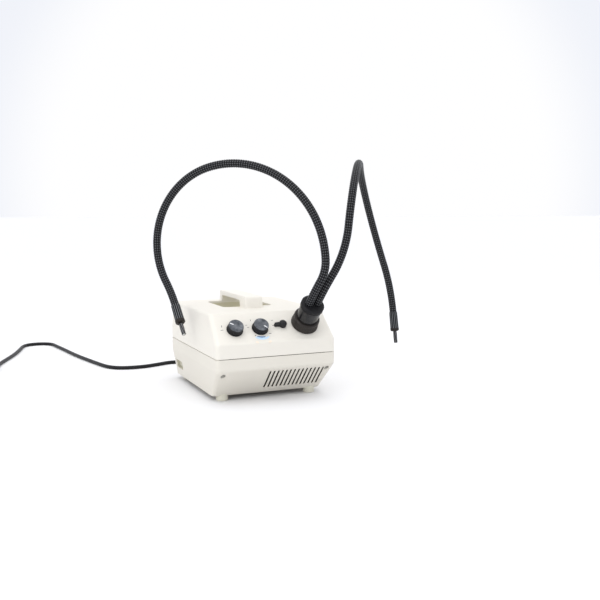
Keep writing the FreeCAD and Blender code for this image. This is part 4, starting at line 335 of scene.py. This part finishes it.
PALE_BLUE = surface("print_pale_blue", (0.52, 0.72, 0.92), (0.57, 0.76, 0.95),
                    (0.45, 0.55), 3000, 0.02)
AMBER = surface("print_pale_amber", (0.92, 0.76, 0.62), (0.94, 0.79, 0.66),
                (0.45, 0.55), 3000, 0.02)

# ---- painted shade inside the shells, under them and in their recesses --------------------------
# each tone here is painted shade, darker where shade falls: inside the shells, in the finger
# recess, under the skirt, in the screw pockets and in the hand well
INSIDE_PAINTED_SHADE = (0.05, 0.037, 0.023)
RECESS_PAINTED_SHADE = (0.52, 0.50, 0.40)
UNDERSIDE_PAINTED_SHADE = (0.34, 0.30, 0.23)
POCKET_PAINTED_SHADE = (0.36, 0.35, 0.31)
WELL_PAINTED_SHADE = (0.66, 0.63, 0.49)
INTO_GRILLE = Vector((0, 46, 45)).normalized()
GRILLE_FOOT = Vector((0, -86, 8.5))
BAND_BACK = -129.8      # just behind the upright front band
POCKET_SKIN = 1.2       # depth under the sloping grille at which inner tones begin
SLOT_SKIN = 0.5


def block(low, high):
    """Half-spaces of a box round the housing, as normals and how far along them the box begins."""
    faces = []
    for axis in range(3):
        normal = Vector([float(place == axis) for place in range(3)])
        faces += [(normal, low[axis]), (-normal, -high[axis])]
    return faces


def under_grille(low, high, depth):
    """The part of a block that lies deeper than a depth under the sloping grille."""
    return block(low, high) + [(INTO_GRILLE, INTO_GRILLE.dot(GRILLE_FOOT) + depth)]


LOWER_SHELL_SHADE_ZONES = (
    # painted shade behind the grille, and on the walls of its slots
    (under_grille((-89.5, BAND_BACK, 9.1), (89.5, 120, 74), POCKET_SKIN), INSIDE_PAINTED_SHADE),
    (under_grille((-13, BAND_BACK, 14.5), (84, 120, 48.5), SLOT_SKIN), INSIDE_PAINTED_SHADE),
    # painted shade behind the rear slots, up to the leaning rear wall's skin
    (block((-88, 110, 9.1), (88, 131, 73.5)) + [(Vector((0, -1, 0.107)), -121.8)], INSIDE_PAINTED_SHADE),
    # painted shade in the finger recess, cut into the leaning left wall
    (block((-110, 73.5, 21), (-88, 113, 37)) + [(Vector((1, 0, 0.107)), -91.3)], RECESS_PAINTED_SHADE),
    # painted shade on everything below the skirt's lower edge
    (block((-110, -140, -10), (110, 140, 8.56)), UNDERSIDE_PAINTED_SHADE),
    # painted shade in the two front screw pockets
    (under_grille((-95, BAND_BACK, 8.56), (-80, -114, 74), POCKET_SKIN), POCKET_PAINTED_SHADE),
    (under_grille((81.5, BAND_BACK, 8.56), (95, -114, 74), POCKET_SKIN), POCKET_PAINTED_SHADE),
)
UPPER_SHELL_SHADE_ZONES = (
    # painted shade in the hand well, then in the space behind the rear slots
    (block((-46.3, -6.3, 100), (42.3, 90.3, 136)), WELL_PAINTED_SHADE),
    (block((-88, 96, 72.5), (88, 131, 134)) + [(Vector((0, -1, -0.0462)), -133.12)], INSIDE_PAINTED_SHADE),
)


def paint_shade(material, zones):
    """Painted shade for the parts of a moulding that lie in zones of space; a later zone wins."""
    kit = NodeKit(material)
    base = kit.nodes["Principled BSDF"].inputs["Base Color"]
    place = kit.add("TexCoord").outputs["Object"]
    for faces, tone in zones:
        inside = None
        for normal, start in faces:
            along = kit.value("VectorMath", "DOT_PRODUCT", place, normal)
            begins = normal.dot(HOUSING) + start / 1000
            beyond = kit.value("Math", "GREATER_THAN", along, begins)
            if inside is None:
                inside = beyond
            else:
                inside = kit.value("Math", "MULTIPLY", inside, beyond)
        kit.feed(base, kit.mix(inside, base.links[0].from_socket, tone))


# ---- CAD nodes that keep their shape ------------------------------------------------------------
NODE_FINISH = (
    (CREAM_SHADED, "lower_shell"),
    (CREAM, "upper_shell"),
    (CREAM_GRIP, "carry_handle"),
    (FOOT, "feet"),
    (ZINC, "chassis_plate lamp_bracket lamp_shield"),
    (STEEL, "case_screws chassis_screws handle_screws fan_screws transformer_clamp"),
    (TAPE, "transformer"),
    (BOARD, "control_board"),
    (PARTS, "board_parts"),
    (MOULDED, "fan_frame fan_rotor power_switch fuse_holder shutter_lever"),
    (CAP, "power_cap intensity_cap"),
    (TURNED, "power_shaft intensity_shaft intensity_pot shutter_blade socket_sleeve guide_plug"),
    (GLASS, "lamp heat_filter"),
    (CERAMIC, "lamp_socket"),
    (HEAD, "guide_head"),
    (MATT, "head_cap"),
    (FIBRE, "left_fibre_face right_fibre_face bundle_face"),
    (LEAD, "strain_relief cord_tie plug_body"),
    (PIN, "plug_pins"),
)


def finish_nodes():
    """Materials for the CAD nodes that keep their shape."""
    # painted shade in the shells' hollows, under them and in their recesses
    paint_shade(CREAM_SHADED, LOWER_SHELL_SHADE_ZONES)
    paint_shade(CREAM, UPPER_SHELL_SHADE_ZONES)
    for material, names in NODE_FINISH:
        for name in names.split():
            mesh = NODES[name].data
            mesh.materials.clear()
            mesh.materials.append(material)


# ---- meshes -------------------------------------------------------------------------------------
SHARP_ANGLE = 32        # degrees
CREST_SHARPNESS = 2     # how narrow the worn ridges between flutes are


def piece(name, points, faces, material, smooth=True, crest=None):
    """New mesh object; crest gives each point's share of the material's second tone: wear on some
    materials, a painted highlight on others.
    """
    mesh = bpy.data.meshes.new(name)
    mesh.from_pydata([tuple(point) for point in points], [], faces)
    mesh.validate()
    for polygon in mesh.polygons:
        polygon.use_smooth = smooth
    if crest:
        values = mesh.attributes.new("crest", "FLOAT", "POINT")
        values.data.foreach_set("value", crest)
    mesh.materials.append(material)
    thing = new_object(name, mesh)
    return thing


def rings_to_faces(rings, sides):
    """Quads between rings of points, with one face across each end."""
    faces = []
    for ring in range(rings - 1):
        for side in range(sides):
            after = (side + 1) % sides
            a = ring * sides
            b = a + sides
            faces.append((a + side, a + after, b + after, b + side))
    faces.append(tuple(reversed(range(sides))))
    faces.append(tuple(range((rings - 1) * sides, rings * sides)))
    return faces


def slab(corners, low, high):
    """Points and faces of a flat shape between two heights, from the corners of its outline."""
    count = len(corners)
    points = [Vector((x, y, height)) for height in (low, high) for x, y in corners]
    return points, rings_to_faces(2, count)


def lathe(outline, sides, shape=None, closed=False):
    """Points, faces and ring of each face of a form turned about local Z.

    The outline has (radius, height) pairs. shape gives the skin's radius from a radius, height and
    angle.
    """
    points = []
    rings = []
    for radius, height in outline:
        if radius == 0:
            rings.append([len(points)] * sides)
            points.append(Vector((0, 0, height)))
            continue
        rings.append(list(range(len(points), len(points) + sides)))
        for side in range(sides):
            angle = 2 * math.pi * side / sides
            reach = shape(radius, height, angle) if shape else radius
            points.append(Vector((reach * math.cos(angle), reach * math.sin(angle), height)))
    faces = []
    ring_of = []
    for ring in range(len(rings) - (0 if closed else 1)):
        lower, upper = rings[ring], rings[(ring + 1) % len(rings)]
        for side in range(sides):
            after = (side + 1) % sides
            corners = (lower[side], lower[after], upper[after], upper[side])
            faces.append(list(dict.fromkeys(corners)))
            ring_of.append(ring)
    return points, faces, ring_of


def finer(outline, low, high, step):
    """The outline with its rises between two heights divided into short steps."""
    result = []
    for (radius, height), (next_radius, next_height) in zip(outline, outline[1:] + outline[-1:]):
        result.append((radius, height))
        if height >= low and next_height <= high and next_height > height:
            count = round((next_height - height) / step)
            for number in range(1, count):
                share = number / count
                result.append((radius + (next_radius - radius) * share,
                               height + (next_height - height) * share))
    return result


def turned_piece(name, outline, place, sides, material, shape=None, closed=False,
                 second=None, crest=None):
    """Turned piece in a place. second has another material and the heights that it covers."""
    points, faces, ring_of = lathe(outline, sides, shape, closed)
    crests = [crest(point) for point in points] if crest else None
    thing = piece(name, [place @ point for point in points], faces, material, crest=crests)
    if second:
        other, low, high = second
        thing.data.materials.append(other)
        for polygon, ring in zip(thing.data.polygons, ring_of):
            middle = (outline[ring][1] + outline[(ring + 1) % len(outline)][1]) / 2
            if low <= middle <= high:
                polygon.material_index = 1
    thing.data.set_sharp_from_angle(angle=math.radians(SHARP_ANGLE))
    return thing


# ---- knobs --------------------------------------------------------------------------------------
POWER_POINTS_TO = 150           # degrees from the panel's right
INTENSITY_POINTS_TO = -45
KNOB_FLUTES = 36
KNOB_SIDES = KNOB_FLUTES * 6
KNOB_FLUTE_DEPTH = 0.42
KNOB_FLUTE_SHARPNESS = 1.5
KNOB_FLUTES_LOW = 3.2
KNOB_FLUTES_HIGH = 10.0
KNOB_PLAIN_CREST = 0.1          # outside the flutes
KNOB_RIM = (10.5, 11.5)         # heights of the satin rim
KNOB_OUTLINE = [
    (0, 8.4), (3.05, 8.4), (3.05, 4.4), (10.0, 4.4), (10.0, 0.4), (13.25, 0.4), (13.25, 1.6),
    (12.625, 2.8), (12.5, 3.3), (12.06, 9.9), (12.0, 10.4), (11.5, 11.4), (10.65, 11.4),
    (10.65, 10.2), (0, 10.2),
]
POINTER_REACH = (4.55, 10.45)   # from the knob's middle
POINTER_HALF_WIDTH = 0.66
POINTER_HEIGHTS = (10.92, 11.45)


def knob_flutes(radius, height, turn):
    """Radius of the knob's skin, hollowed by its flutes."""
    if not KNOB_FLUTES_LOW < height < KNOB_FLUTES_HIGH:
        return radius
    hollow = (0.5 - 0.5 * math.cos(KNOB_FLUTES * turn)) ** KNOB_FLUTE_SHARPNESS
    return radius - KNOB_FLUTE_DEPTH * hollow


def knob_crest(point):
    """Worn share of the knob's skin, most on the ridges between flutes."""
    if not KNOB_FLUTES_LOW < point.z < KNOB_FLUTES_HIGH:
        return KNOB_PLAIN_CREST
    return max(0.0, math.cos(KNOB_FLUTES * turn_of(point))) ** CREST_SHARPNESS


def knob(name, at, angle, body):
    """Fluted knob with a satin rim round its cap, and the white inlay of its pointer."""
    place = on_panel(at, 0, angle)
    outer = turned_piece(name + "_knob_body", KNOB_OUTLINE, place, KNOB_SIDES, KNOB,
                         knob_flutes, second=(CAP, *KNOB_RIM), crest=knob_crest)
    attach(outer, body)
    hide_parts(name + "_knob")
    near, far = POINTER_REACH
    half = POINTER_HALF_WIDTH
    corners = [(near, -half), (far, -half), (far, half), (near, half)]
    points, faces = slab(corners, *POINTER_HEIGHTS)
    inlay = piece(name + "_pointer", [place @ point for point in points], faces, WHITE,
                  smooth=False)
    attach(inlay, body)


# ---- clamp collar -------------------------------------------------------------------------------
KNURL_TEETH = 60
KNURL_PITCH = 2.3
KNURL_DEPTH = 0.4
KNURL_STEEPNESS = 1.6
KNURL_LOW = 2.5
KNURL_HIGH = 15.4
KNURL_INNER = 20.5      # the knurl is on the skin beyond this radius
COLLAR_PLAIN_CREST = 0.4
COLLAR_SIDES = KNURL_TEETH * 5
COLLAR_DIVIDED = (2.4, 15.5, KNURL_PITCH / 5)   # from, to and step of the outline's extra rings
COLLAR_OUTLINE = [
    (16.05, 0.4), (21.25, 0.4), (22.25, 1.4), (22.17, 2.4), (21.08, 15.5), (21.0, 16.5),
    (19.5, 18.0), (12.8, 18.0), (12.8, 12.3), (16.05, 12.3),
]


def knurl(height, turn):
    """How far a point of the diamond knurl stands out, from 0 in a groove to 1 on a point."""
    stand = 1.0
    for way in (-1, 1):
        phase = (turn * KNURL_TEETH / (2 * math.pi) + way * height / KNURL_PITCH) % 1.0
        stand = min(stand, abs(2 * phase - 1) * KNURL_STEEPNESS)
    return stand


def knurled(radius, height, turn):
    """Radius of the collar's skin, cut by the knurl."""
    if radius < KNURL_INNER or not KNURL_LOW < height < KNURL_HIGH:
        return radius
    return radius - KNURL_DEPTH * (1 - knurl(height, turn))


def knurl_crest(point):
    """Worn share of the collar's skin, most on the points of the knurl."""
    if point.xy.length > KNURL_INNER and KNURL_LOW < point.z < KNURL_HIGH:
        return knurl(point.z, turn_of(point))
    return COLLAR_PLAIN_CREST


def collar():
    """Clamp collar with a diamond knurl round its side."""
    ring = turned_piece("knurled_collar", finer(COLLAR_OUTLINE, *COLLAR_DIVIDED),
                        on_panel(GUIDE_AT), COLLAR_SIDES, ANODISED, knurled,
                        closed=True, crest=knurl_crest)
    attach(ring, "collar")
    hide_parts("clamp_collar")


# ---- marks printed on the panel -----------------------------------------------------------------
PRINT_HEIGHTS = (0.02, 0.1)
CRESCENT_STEPS = 24
CRESCENT_CUT = 0.06     # share of the half wave that is cut off at each end
# to the right of the panel's middle, up its slope, length, width, angle
TICKS = (
    (-83.0, 36.2, 3.8, 0.9, 90), (-84.0, 28.8, 4.2, 0.7, 0), (-42.7, 35.8, 3.0, 0.7, 0),
    (-40.9, 31.3, 3.4, 0.7, 0), (-33.3, 44.8, 3.4, 0.8, 90), (-33.1, 14.6, 1.6, 1.5, 0),
    (-8.0, 16.6, 3.6, 0.9, 0), (1.3, 32.2, 2.6, 0.9, 0), (2.5, 42.2, 3.0, 0.7, 0),
)
# name, radius round the intensity knob, first and last angle, width, ink
RANGES = (
    ("blue_range", 16.7, -123, -73, 2.3, BLUE),
    ("pale_range", 19.9, -126, -57, 4.0, PALE_BLUE),
    ("amber_range_1", 28.4, -118, -108, 3.4, AMBER),
    ("amber_range_2", 28.2, -75, -64, 3.4, AMBER),
)


def flat_mark(name, corners, material):
    """Thin printed shape from the corners of its outline on the panel."""
    place = on_panel((0, 0))
    points, faces = slab(corners, *PRINT_HEIGHTS)
    mark = piece(name, [place @ point for point in points], faces, material,
                 smooth=False)
    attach(mark, "housing")


def tick(name, x, y, length, width, angle):
    """Printed bar round a place on the panel, turned by an angle in degrees."""
    lean = math.radians(angle)
    along = Vector((math.cos(lean), math.sin(lean)))
    aside = Vector((-along.y, along.x))
    corners = [Vector((x, y)) + along * length * a / 2 + aside * width * b / 2
               for a, b in ((-1, -1), (1, -1), (1, 1), (-1, 1))]
    flat_mark(name, [tuple(corner) for corner in corners], INK)


def crescent(name, radius, first, last, width, material):
    """Curved band round the intensity knob, widest in its middle."""
    inner = []
    outer = []
    for step in range(CRESCENT_STEPS + 1):
        share = step / CRESCENT_STEPS
        angle = math.radians(first + (last - first) * share)
        wave = CRESCENT_CUT + (1 - 2 * CRESCENT_CUT) * share
        half = width / 2 * math.sqrt(math.sin(math.pi * wave))
        for reach, row in ((radius - half, inner), (radius + half, outer)):
            row.append((INTENSITY_AT[0] + reach * math.cos(angle),
                        INTENSITY_AT[1] + reach * math.sin(angle)))
    flat_mark(name, inner + outer[::-1], material)


def panel_marks():
    """Generic ticks, dashes and coloured ranges round the controls."""
    for number, values in enumerate(TICKS):
        tick("panel_tick_%d" % (number + 1), *values)
    for values in RANGES:
        crescent(*values)


# ---- tip grips and ferrules ---------------------------------------------------------------------
NECK_IN_GRIP = 10.0
GRIP_FLUTES = 14
GRIP_SIDES = GRIP_FLUTES * 8
GRIP_FLUTE_DEPTH = 0.6
GRIP_FLUTES_LOW = 0.6
GRIP_FLUTES_HIGH = 29.0
GRIP_RUN_IN = 2.0               # heights over which the flutes deepen and end
GRIP_RUN_OUT = 1.5
GRIP_INNER = 7.3                # the flutes are on the skin beyond this radius
GRIP_PLAIN_CREST = 0.3
GRIP_DIVIDED = (2.0, 28.4, 3.3)
GRIP_BAND = (29.2, 35.0)        # heights of the plain end band
GRIP_OUTLINE = [
    (0, 10.15), (6.8, 10.15), (6.8, 0.0), (7.05, 0.0), (7.35, 0.6), (7.37, 2.0), (7.69, 28.4),
    (7.7, 29.1), (8.0, 29.4), (8.0, 33.4), (6.4, 35.0), (2.95, 35.0), (2.95, 22.95), (0, 22.95),
]
STREAKS = 6
STREAK_RISE = 4                 # height for each radian of the streaks' wave
STREAK_SHARPNESS = 1.5
STREAK_DEPTH = 0.15
STREAKS_LOW = 36.2
STREAKS_HIGH = 56.2
FERRULE_INNER = 3.0
FERRULE_PLAIN_CREST = 0.2
FERRULE_SIDES = 72
FERRULE_DIVIDED = (36.3, 56.4, 1.0)
FERRULE_OUTLINE = [
    (0, 23.0), (2.9, 23.0), (2.9, 36.0), (3.3, 36.0), (3.5, 36.3), (3.5, 56.4), (2.9, 57.0),
    (2.35, 57.0), (2.35, 54.7), (0, 54.7),
]


def grip_flutes(radius, height, turn):
    """Radius of the grip's skin, hollowed by flutes that fade out at both ends."""
    if radius < GRIP_INNER or not GRIP_FLUTES_LOW < height < GRIP_FLUTES_HIGH:
        return radius
    depth = GRIP_FLUTE_DEPTH * min(1.0, (height - GRIP_FLUTES_LOW) / GRIP_RUN_IN,
                                   (GRIP_FLUTES_HIGH - height) / GRIP_RUN_OUT)
    return radius - depth * (0.5 - 0.5 * math.cos(GRIP_FLUTES * turn))


def grip_crest(point):
    """Share of the painted highlight on the grip's skin, most on the ridges between flutes."""
    if not GRIP_FLUTES_LOW < point.z < GRIP_FLUTES_HIGH:
        return GRIP_PLAIN_CREST
    return max(0.0, math.cos(GRIP_FLUTES * turn_of(point))) ** CREST_SHARPNESS


def streak(turn, height):
    """Slanting lines of a ferrule that was turned and drawn, from 0 between them to 1 on one."""
    return max(0.0, math.cos(STREAKS * turn + height / STREAK_RISE)) ** STREAK_SHARPNESS


def ferrule_streaks(radius, height, turn):
    """Radius of the ferrule's skin, scored between its streaks."""
    if not STREAKS_LOW < height < STREAKS_HIGH:
        return radius
    return radius - STREAK_DEPTH * (1 - streak(turn, height))


def ferrule_crest(point):
    """Bright share of the ferrule's skin, most on its streaks."""
    if point.xy.length <= FERRULE_INNER:
        return FERRULE_PLAIN_CREST
    return streak(turn_of(point), point.z)


def grip(name, start, heading):
    """Fluted grip with its plain end band, and the ferrule that it holds."""
    across = heading.orthogonal().normalized()
    turn = Matrix((across, heading.cross(across), heading)).transposed().to_4x4()
    place = Matrix.Translation(start / 1000) @ turn @ Matrix.Scale(0.001, 4)
    cover = turned_piece(name + "_fluted_grip", finer(GRIP_OUTLINE, *GRIP_DIVIDED), place,
                         GRIP_SIDES, GRIP, grip_flutes, second=(BAND, *GRIP_BAND),
                         crest=grip_crest)
    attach(cover, name + "_arm_5")
    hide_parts(name + "_grip")
    tip = turned_piece(name + "_brushed_ferrule", finer(FERRULE_OUTLINE, *FERRULE_DIVIDED), place,
                       FERRULE_SIDES, FERRULE, ferrule_streaks,
                       crest=ferrule_crest)
    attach(tip, name + "_arm_5")
    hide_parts(name + "_ferrule")


# ---- light guide arms ---------------------------------------------------------------------------
NECK_SPACING = 14.2
NECKS_BEGIN = 45                # above the panel, inside the head
NECK_RADIUS = 6.65
NECK_SIDES = 48
BRAID_STRANDS = 6
BRAID_STEP = 8.0
BRAID_DEPTH = 0.45
BRAID_SHARPNESS = 1.6
RING_STEP = 0.75
SLACK = 1e-6                    # for rounding, where a stretch ends on a ring
BENDS_AT = (75.0, 235.0, 395.0, 555.0)  # distances of the hinges along the sleeve
BLEND_REACH = 22.1                      # how far the curved sleeve at a hinge goes on each side of it
# each stretch: length, turn in degrees, and the direction and rise that it turns towards
IN_HEAD = (5.0, 0.0, 0.0, 90.0)
IN_GRIP = (NECK_IN_GRIP, 0.0, 0.0, 90.0)
LEFT_SHAPE = (
    (45.0, 32.5, 49.0, 10.0),
    (35.0, 33.0, 136.0, 0.0),
    (279.5, 100.6, 136.0, 0.0),
    (232.5, 104.4, -45.6, -60.0),
    (46.0, -25.0, 56.7, 0.0),
)
RIGHT_SHAPE = (
    (55.0, 58.0, 36.7, 31.0),
    (80.5, 30.0, 189.3, 0.0),
    (194.0, 102.7, 58.8, 0.0),
    (228.0, 91.0, 48.6, -43.7),
    (90.5, 18.7, 99.3, 0.0),
)


def further(point, heading, inward, radius, reach):
    """Point and heading a distance on, along a line, or along an arc where there is a radius."""
    if not radius:
        return point + heading * reach, heading
    part = reach / radius
    aside = inward * (radius * (1 - math.cos(part)))
    place = point + heading * (radius * math.sin(part)) + aside
    return place, heading * math.cos(part) + inward * math.sin(part)


def arm_path(side, shape):
    """Points and headings at even steps from inside the head to the neck's end, and that end."""
    begin = on_panel((GUIDE_AT[0] + side * NECK_SPACING / 2, GUIDE_AT[1]), NECKS_BEGIN)
    point = begin.to_translation() * 1000
    heading = OUT_OF_PANEL.copy()
    stretches = (IN_HEAD, *shape, IN_GRIP)
    total = sum(stretch[0] for stretch in stretches)
    samples = []
    begun = 0.0
    distance = 0.0
    for length, turn, direction, rise in stretches:
        flat, climb = math.radians(direction), math.radians(rise)
        level = math.cos(climb)
        toward = Vector((level * math.cos(flat), level * math.sin(flat), math.sin(climb)))
        inward = (toward - heading * toward.dot(heading)).normalized() * (-1 if turn < 0 else 1)
        angle = math.radians(abs(turn))
        radius = length / angle if angle else 0.0
        while distance <= begun + length + SLACK and distance <= total + SLACK:
            samples.append(further(point, heading, inward, radius, distance - begun))
            distance += RING_STEP
        point, heading = further(point, heading, inward, radius, length)
        begun += length
    return samples, point, heading


def sleeve_rings(samples):
    """Rings of points round the path, and each point's crest, where two strands cross; the crest
    carries the sleeve's painted highlight.
    """
    across = RIGHT.copy()
    rings = []
    crests = []
    for index, (place, heading) in enumerate(samples):
        across = (across - heading * across.dot(heading)).normalized()
        upright = heading.cross(across)
        twist = 2 * math.pi * index * RING_STEP / BRAID_STEP
        ring = []
        for corner in range(NECK_SIDES):
            angle = 2 * math.pi * corner / NECK_SIDES
            over = math.cos(BRAID_STRANDS * angle + twist)
            under = math.cos(BRAID_STRANDS * angle - twist)
            crest = max(0.0, over * under) ** BRAID_SHARPNESS
            reach = NECK_RADIUS - BRAID_DEPTH * (1 - crest)
            out = across * math.cos(angle) + upright * math.sin(angle)
            ring.append((place + out * reach) / 1000)
            crests.append(crest)
        rings.append(ring)
    return rings, crests


def arm(name, side, shape):
    """One arm: the braided sleeve's stiff runs ride on its bodies, and the curved runs at the
    hinges lie between, fixed where they are made.
    """
    samples, neck_end, neck_heading = arm_path(side, shape)
    rings, crests = sleeve_rings(samples)
    bodies = ["head"] + ["%s_arm_%d" % (name, number) for number in range(2, 6)]
    cuts = [0]
    for bend in BENDS_AT:
        cuts += [round((bend - BLEND_REACH) / RING_STEP), round((bend + BLEND_REACH) / RING_STEP)]
    cuts.append(len(rings) - 1)
    for number, (first, last) in enumerate(zip(cuts, cuts[1:])):
        points = [point for ring in rings[first:last + 1] for point in ring]
        crest = crests[first * NECK_SIDES:(last + 1) * NECK_SIDES]
        faces = rings_to_faces(last - first + 1, NECK_SIDES)
        section, soft = divmod(number, 2)
        title = "%s_sleeve_%s_%d" % (name, "bend" if soft else "run", section + 1)
        neck = piece(title, points, faces, SLEEVE, crest=crest)
        if soft:
            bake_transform(neck)
        else:
            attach(neck, bodies[section])
            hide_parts("%s_neck_%d" % (name, section + 1))
    grip(name, neck_end - neck_heading * NECK_IN_GRIP, neck_heading)


# ---- mains lead ---------------------------------------------------------------------------------
LEAD_DIAMETER = 6.8
LEAD_Z = LEAD_DIAMETER / 2
ROUTE = [
    (-20.0, 163.17, 26.58), (-20.0, 190.85, 22.37), (-22.0, 221.0, 10.5), (-40.0, 247.0, LEAD_Z),
    (-70.0, 256.0, LEAD_Z), (-100.0, 242.0, LEAD_Z), (-131.0, 230.0, LEAD_Z),
    (-169.0, 233.0, LEAD_Z), (-192.0, 253.0, LEAD_Z), (-205.5, 305.0, LEAD_Z),
    (-228.0, 403.0, LEAD_Z), (-242.0, 495.0, LEAD_Z), (-251.0, 545.0, LEAD_Z),
    (-257.0, 583.0, LEAD_Z), (-287.0, 598.0, LEAD_Z), (-317.0, 585.0, LEAD_Z),
    (-329.0, 532.0, LEAD_Z), (-345.0, 470.0, LEAD_Z), (-379.5, 377.0, LEAD_Z),
]
COIL_CENTRE = (-433.0, 326.0)
COIL_RADIUS = 42.4
COIL_POINTS = 57
COIL_STEP = 22.5                # degrees from one control point to the next
CONTROL_REACH = 1.01            # the spline runs a little inside its control points
INWARD_AT = (290, 350)          # degrees of winding over which the lead moves in, up and out
UPWARD_AT = (590, 650)
OUTWARD_AT = (1020, 1090)
TAIL = [(-475.6, 341.0, 10.2), (-474.0, 356.0, 7.0), (-472.0, 370.0, 3.6), (-472.0, 381.0, LEAD_Z)]


def eased(value, ends):
    """Smooth rise from 0 to 1 between two ends."""
    share = min(max((value - ends[0]) / (ends[1] - ends[0]), 0.0), 1.0)
    return share * share * (3 - 2 * share)


def coil_points():
    """Three and a half turns: outer, inner, then a second layer from the inside out."""
    points = []
    for number in range(COIL_POINTS):
        turned = number * COIL_STEP
        inward = LEAD_DIAMETER * eased(turned, INWARD_AT)
        outward = LEAD_DIAMETER * eased(turned, OUTWARD_AT)
        reach = (COIL_RADIUS - inward + outward) * CONTROL_REACH
        angle = math.radians(-turned)
        points.append((COIL_CENTRE[0] + reach * math.cos(angle),
                       COIL_CENTRE[1] + reach * math.sin(angle),
                       LEAD_Z + LEAD_DIAMETER * eased(turned, UPWARD_AT)))
    return points


def mains_lead():
    """The whole lead as one smooth curve: its visible route, its tied coil and its tail."""
    route = [mm(*point) for point in ROUTE + coil_points() + TAIL]
    curve = bpy.data.curves.new("mains_lead", "CURVE")
    curve.dimensions = "3D"
    curve.bevel_depth = LEAD_Z / 1000
    curve.bevel_resolution = 4
    curve.resolution_u = 6
    curve.use_fill_caps = True
    spline = curve.splines.new("NURBS")
    spline.points.add(len(route) - 1)
    for point, place in zip(spline.points, route):
        point.co = (*place, 1)
    spline.order_u = 3
    spline.use_endpoint_u = True
    curve.materials.append(LEAD)
    lead = new_object("mains_lead", curve)
    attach(lead, "housing")
    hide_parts("mains_cord", "cord_coil")


set_camera()
set_studio()
set_floor()
mains_lead()
finish_nodes()
knob("power", POWER_AT, POWER_POINTS_TO, "power_control")
knob("intensity", INTENSITY_AT, INTENSITY_POINTS_TO, "intensity_control")
collar()
panel_marks()
arm("left", -1, LEFT_SHAPE)
arm("right", 1, RIGHT_SHAPE)
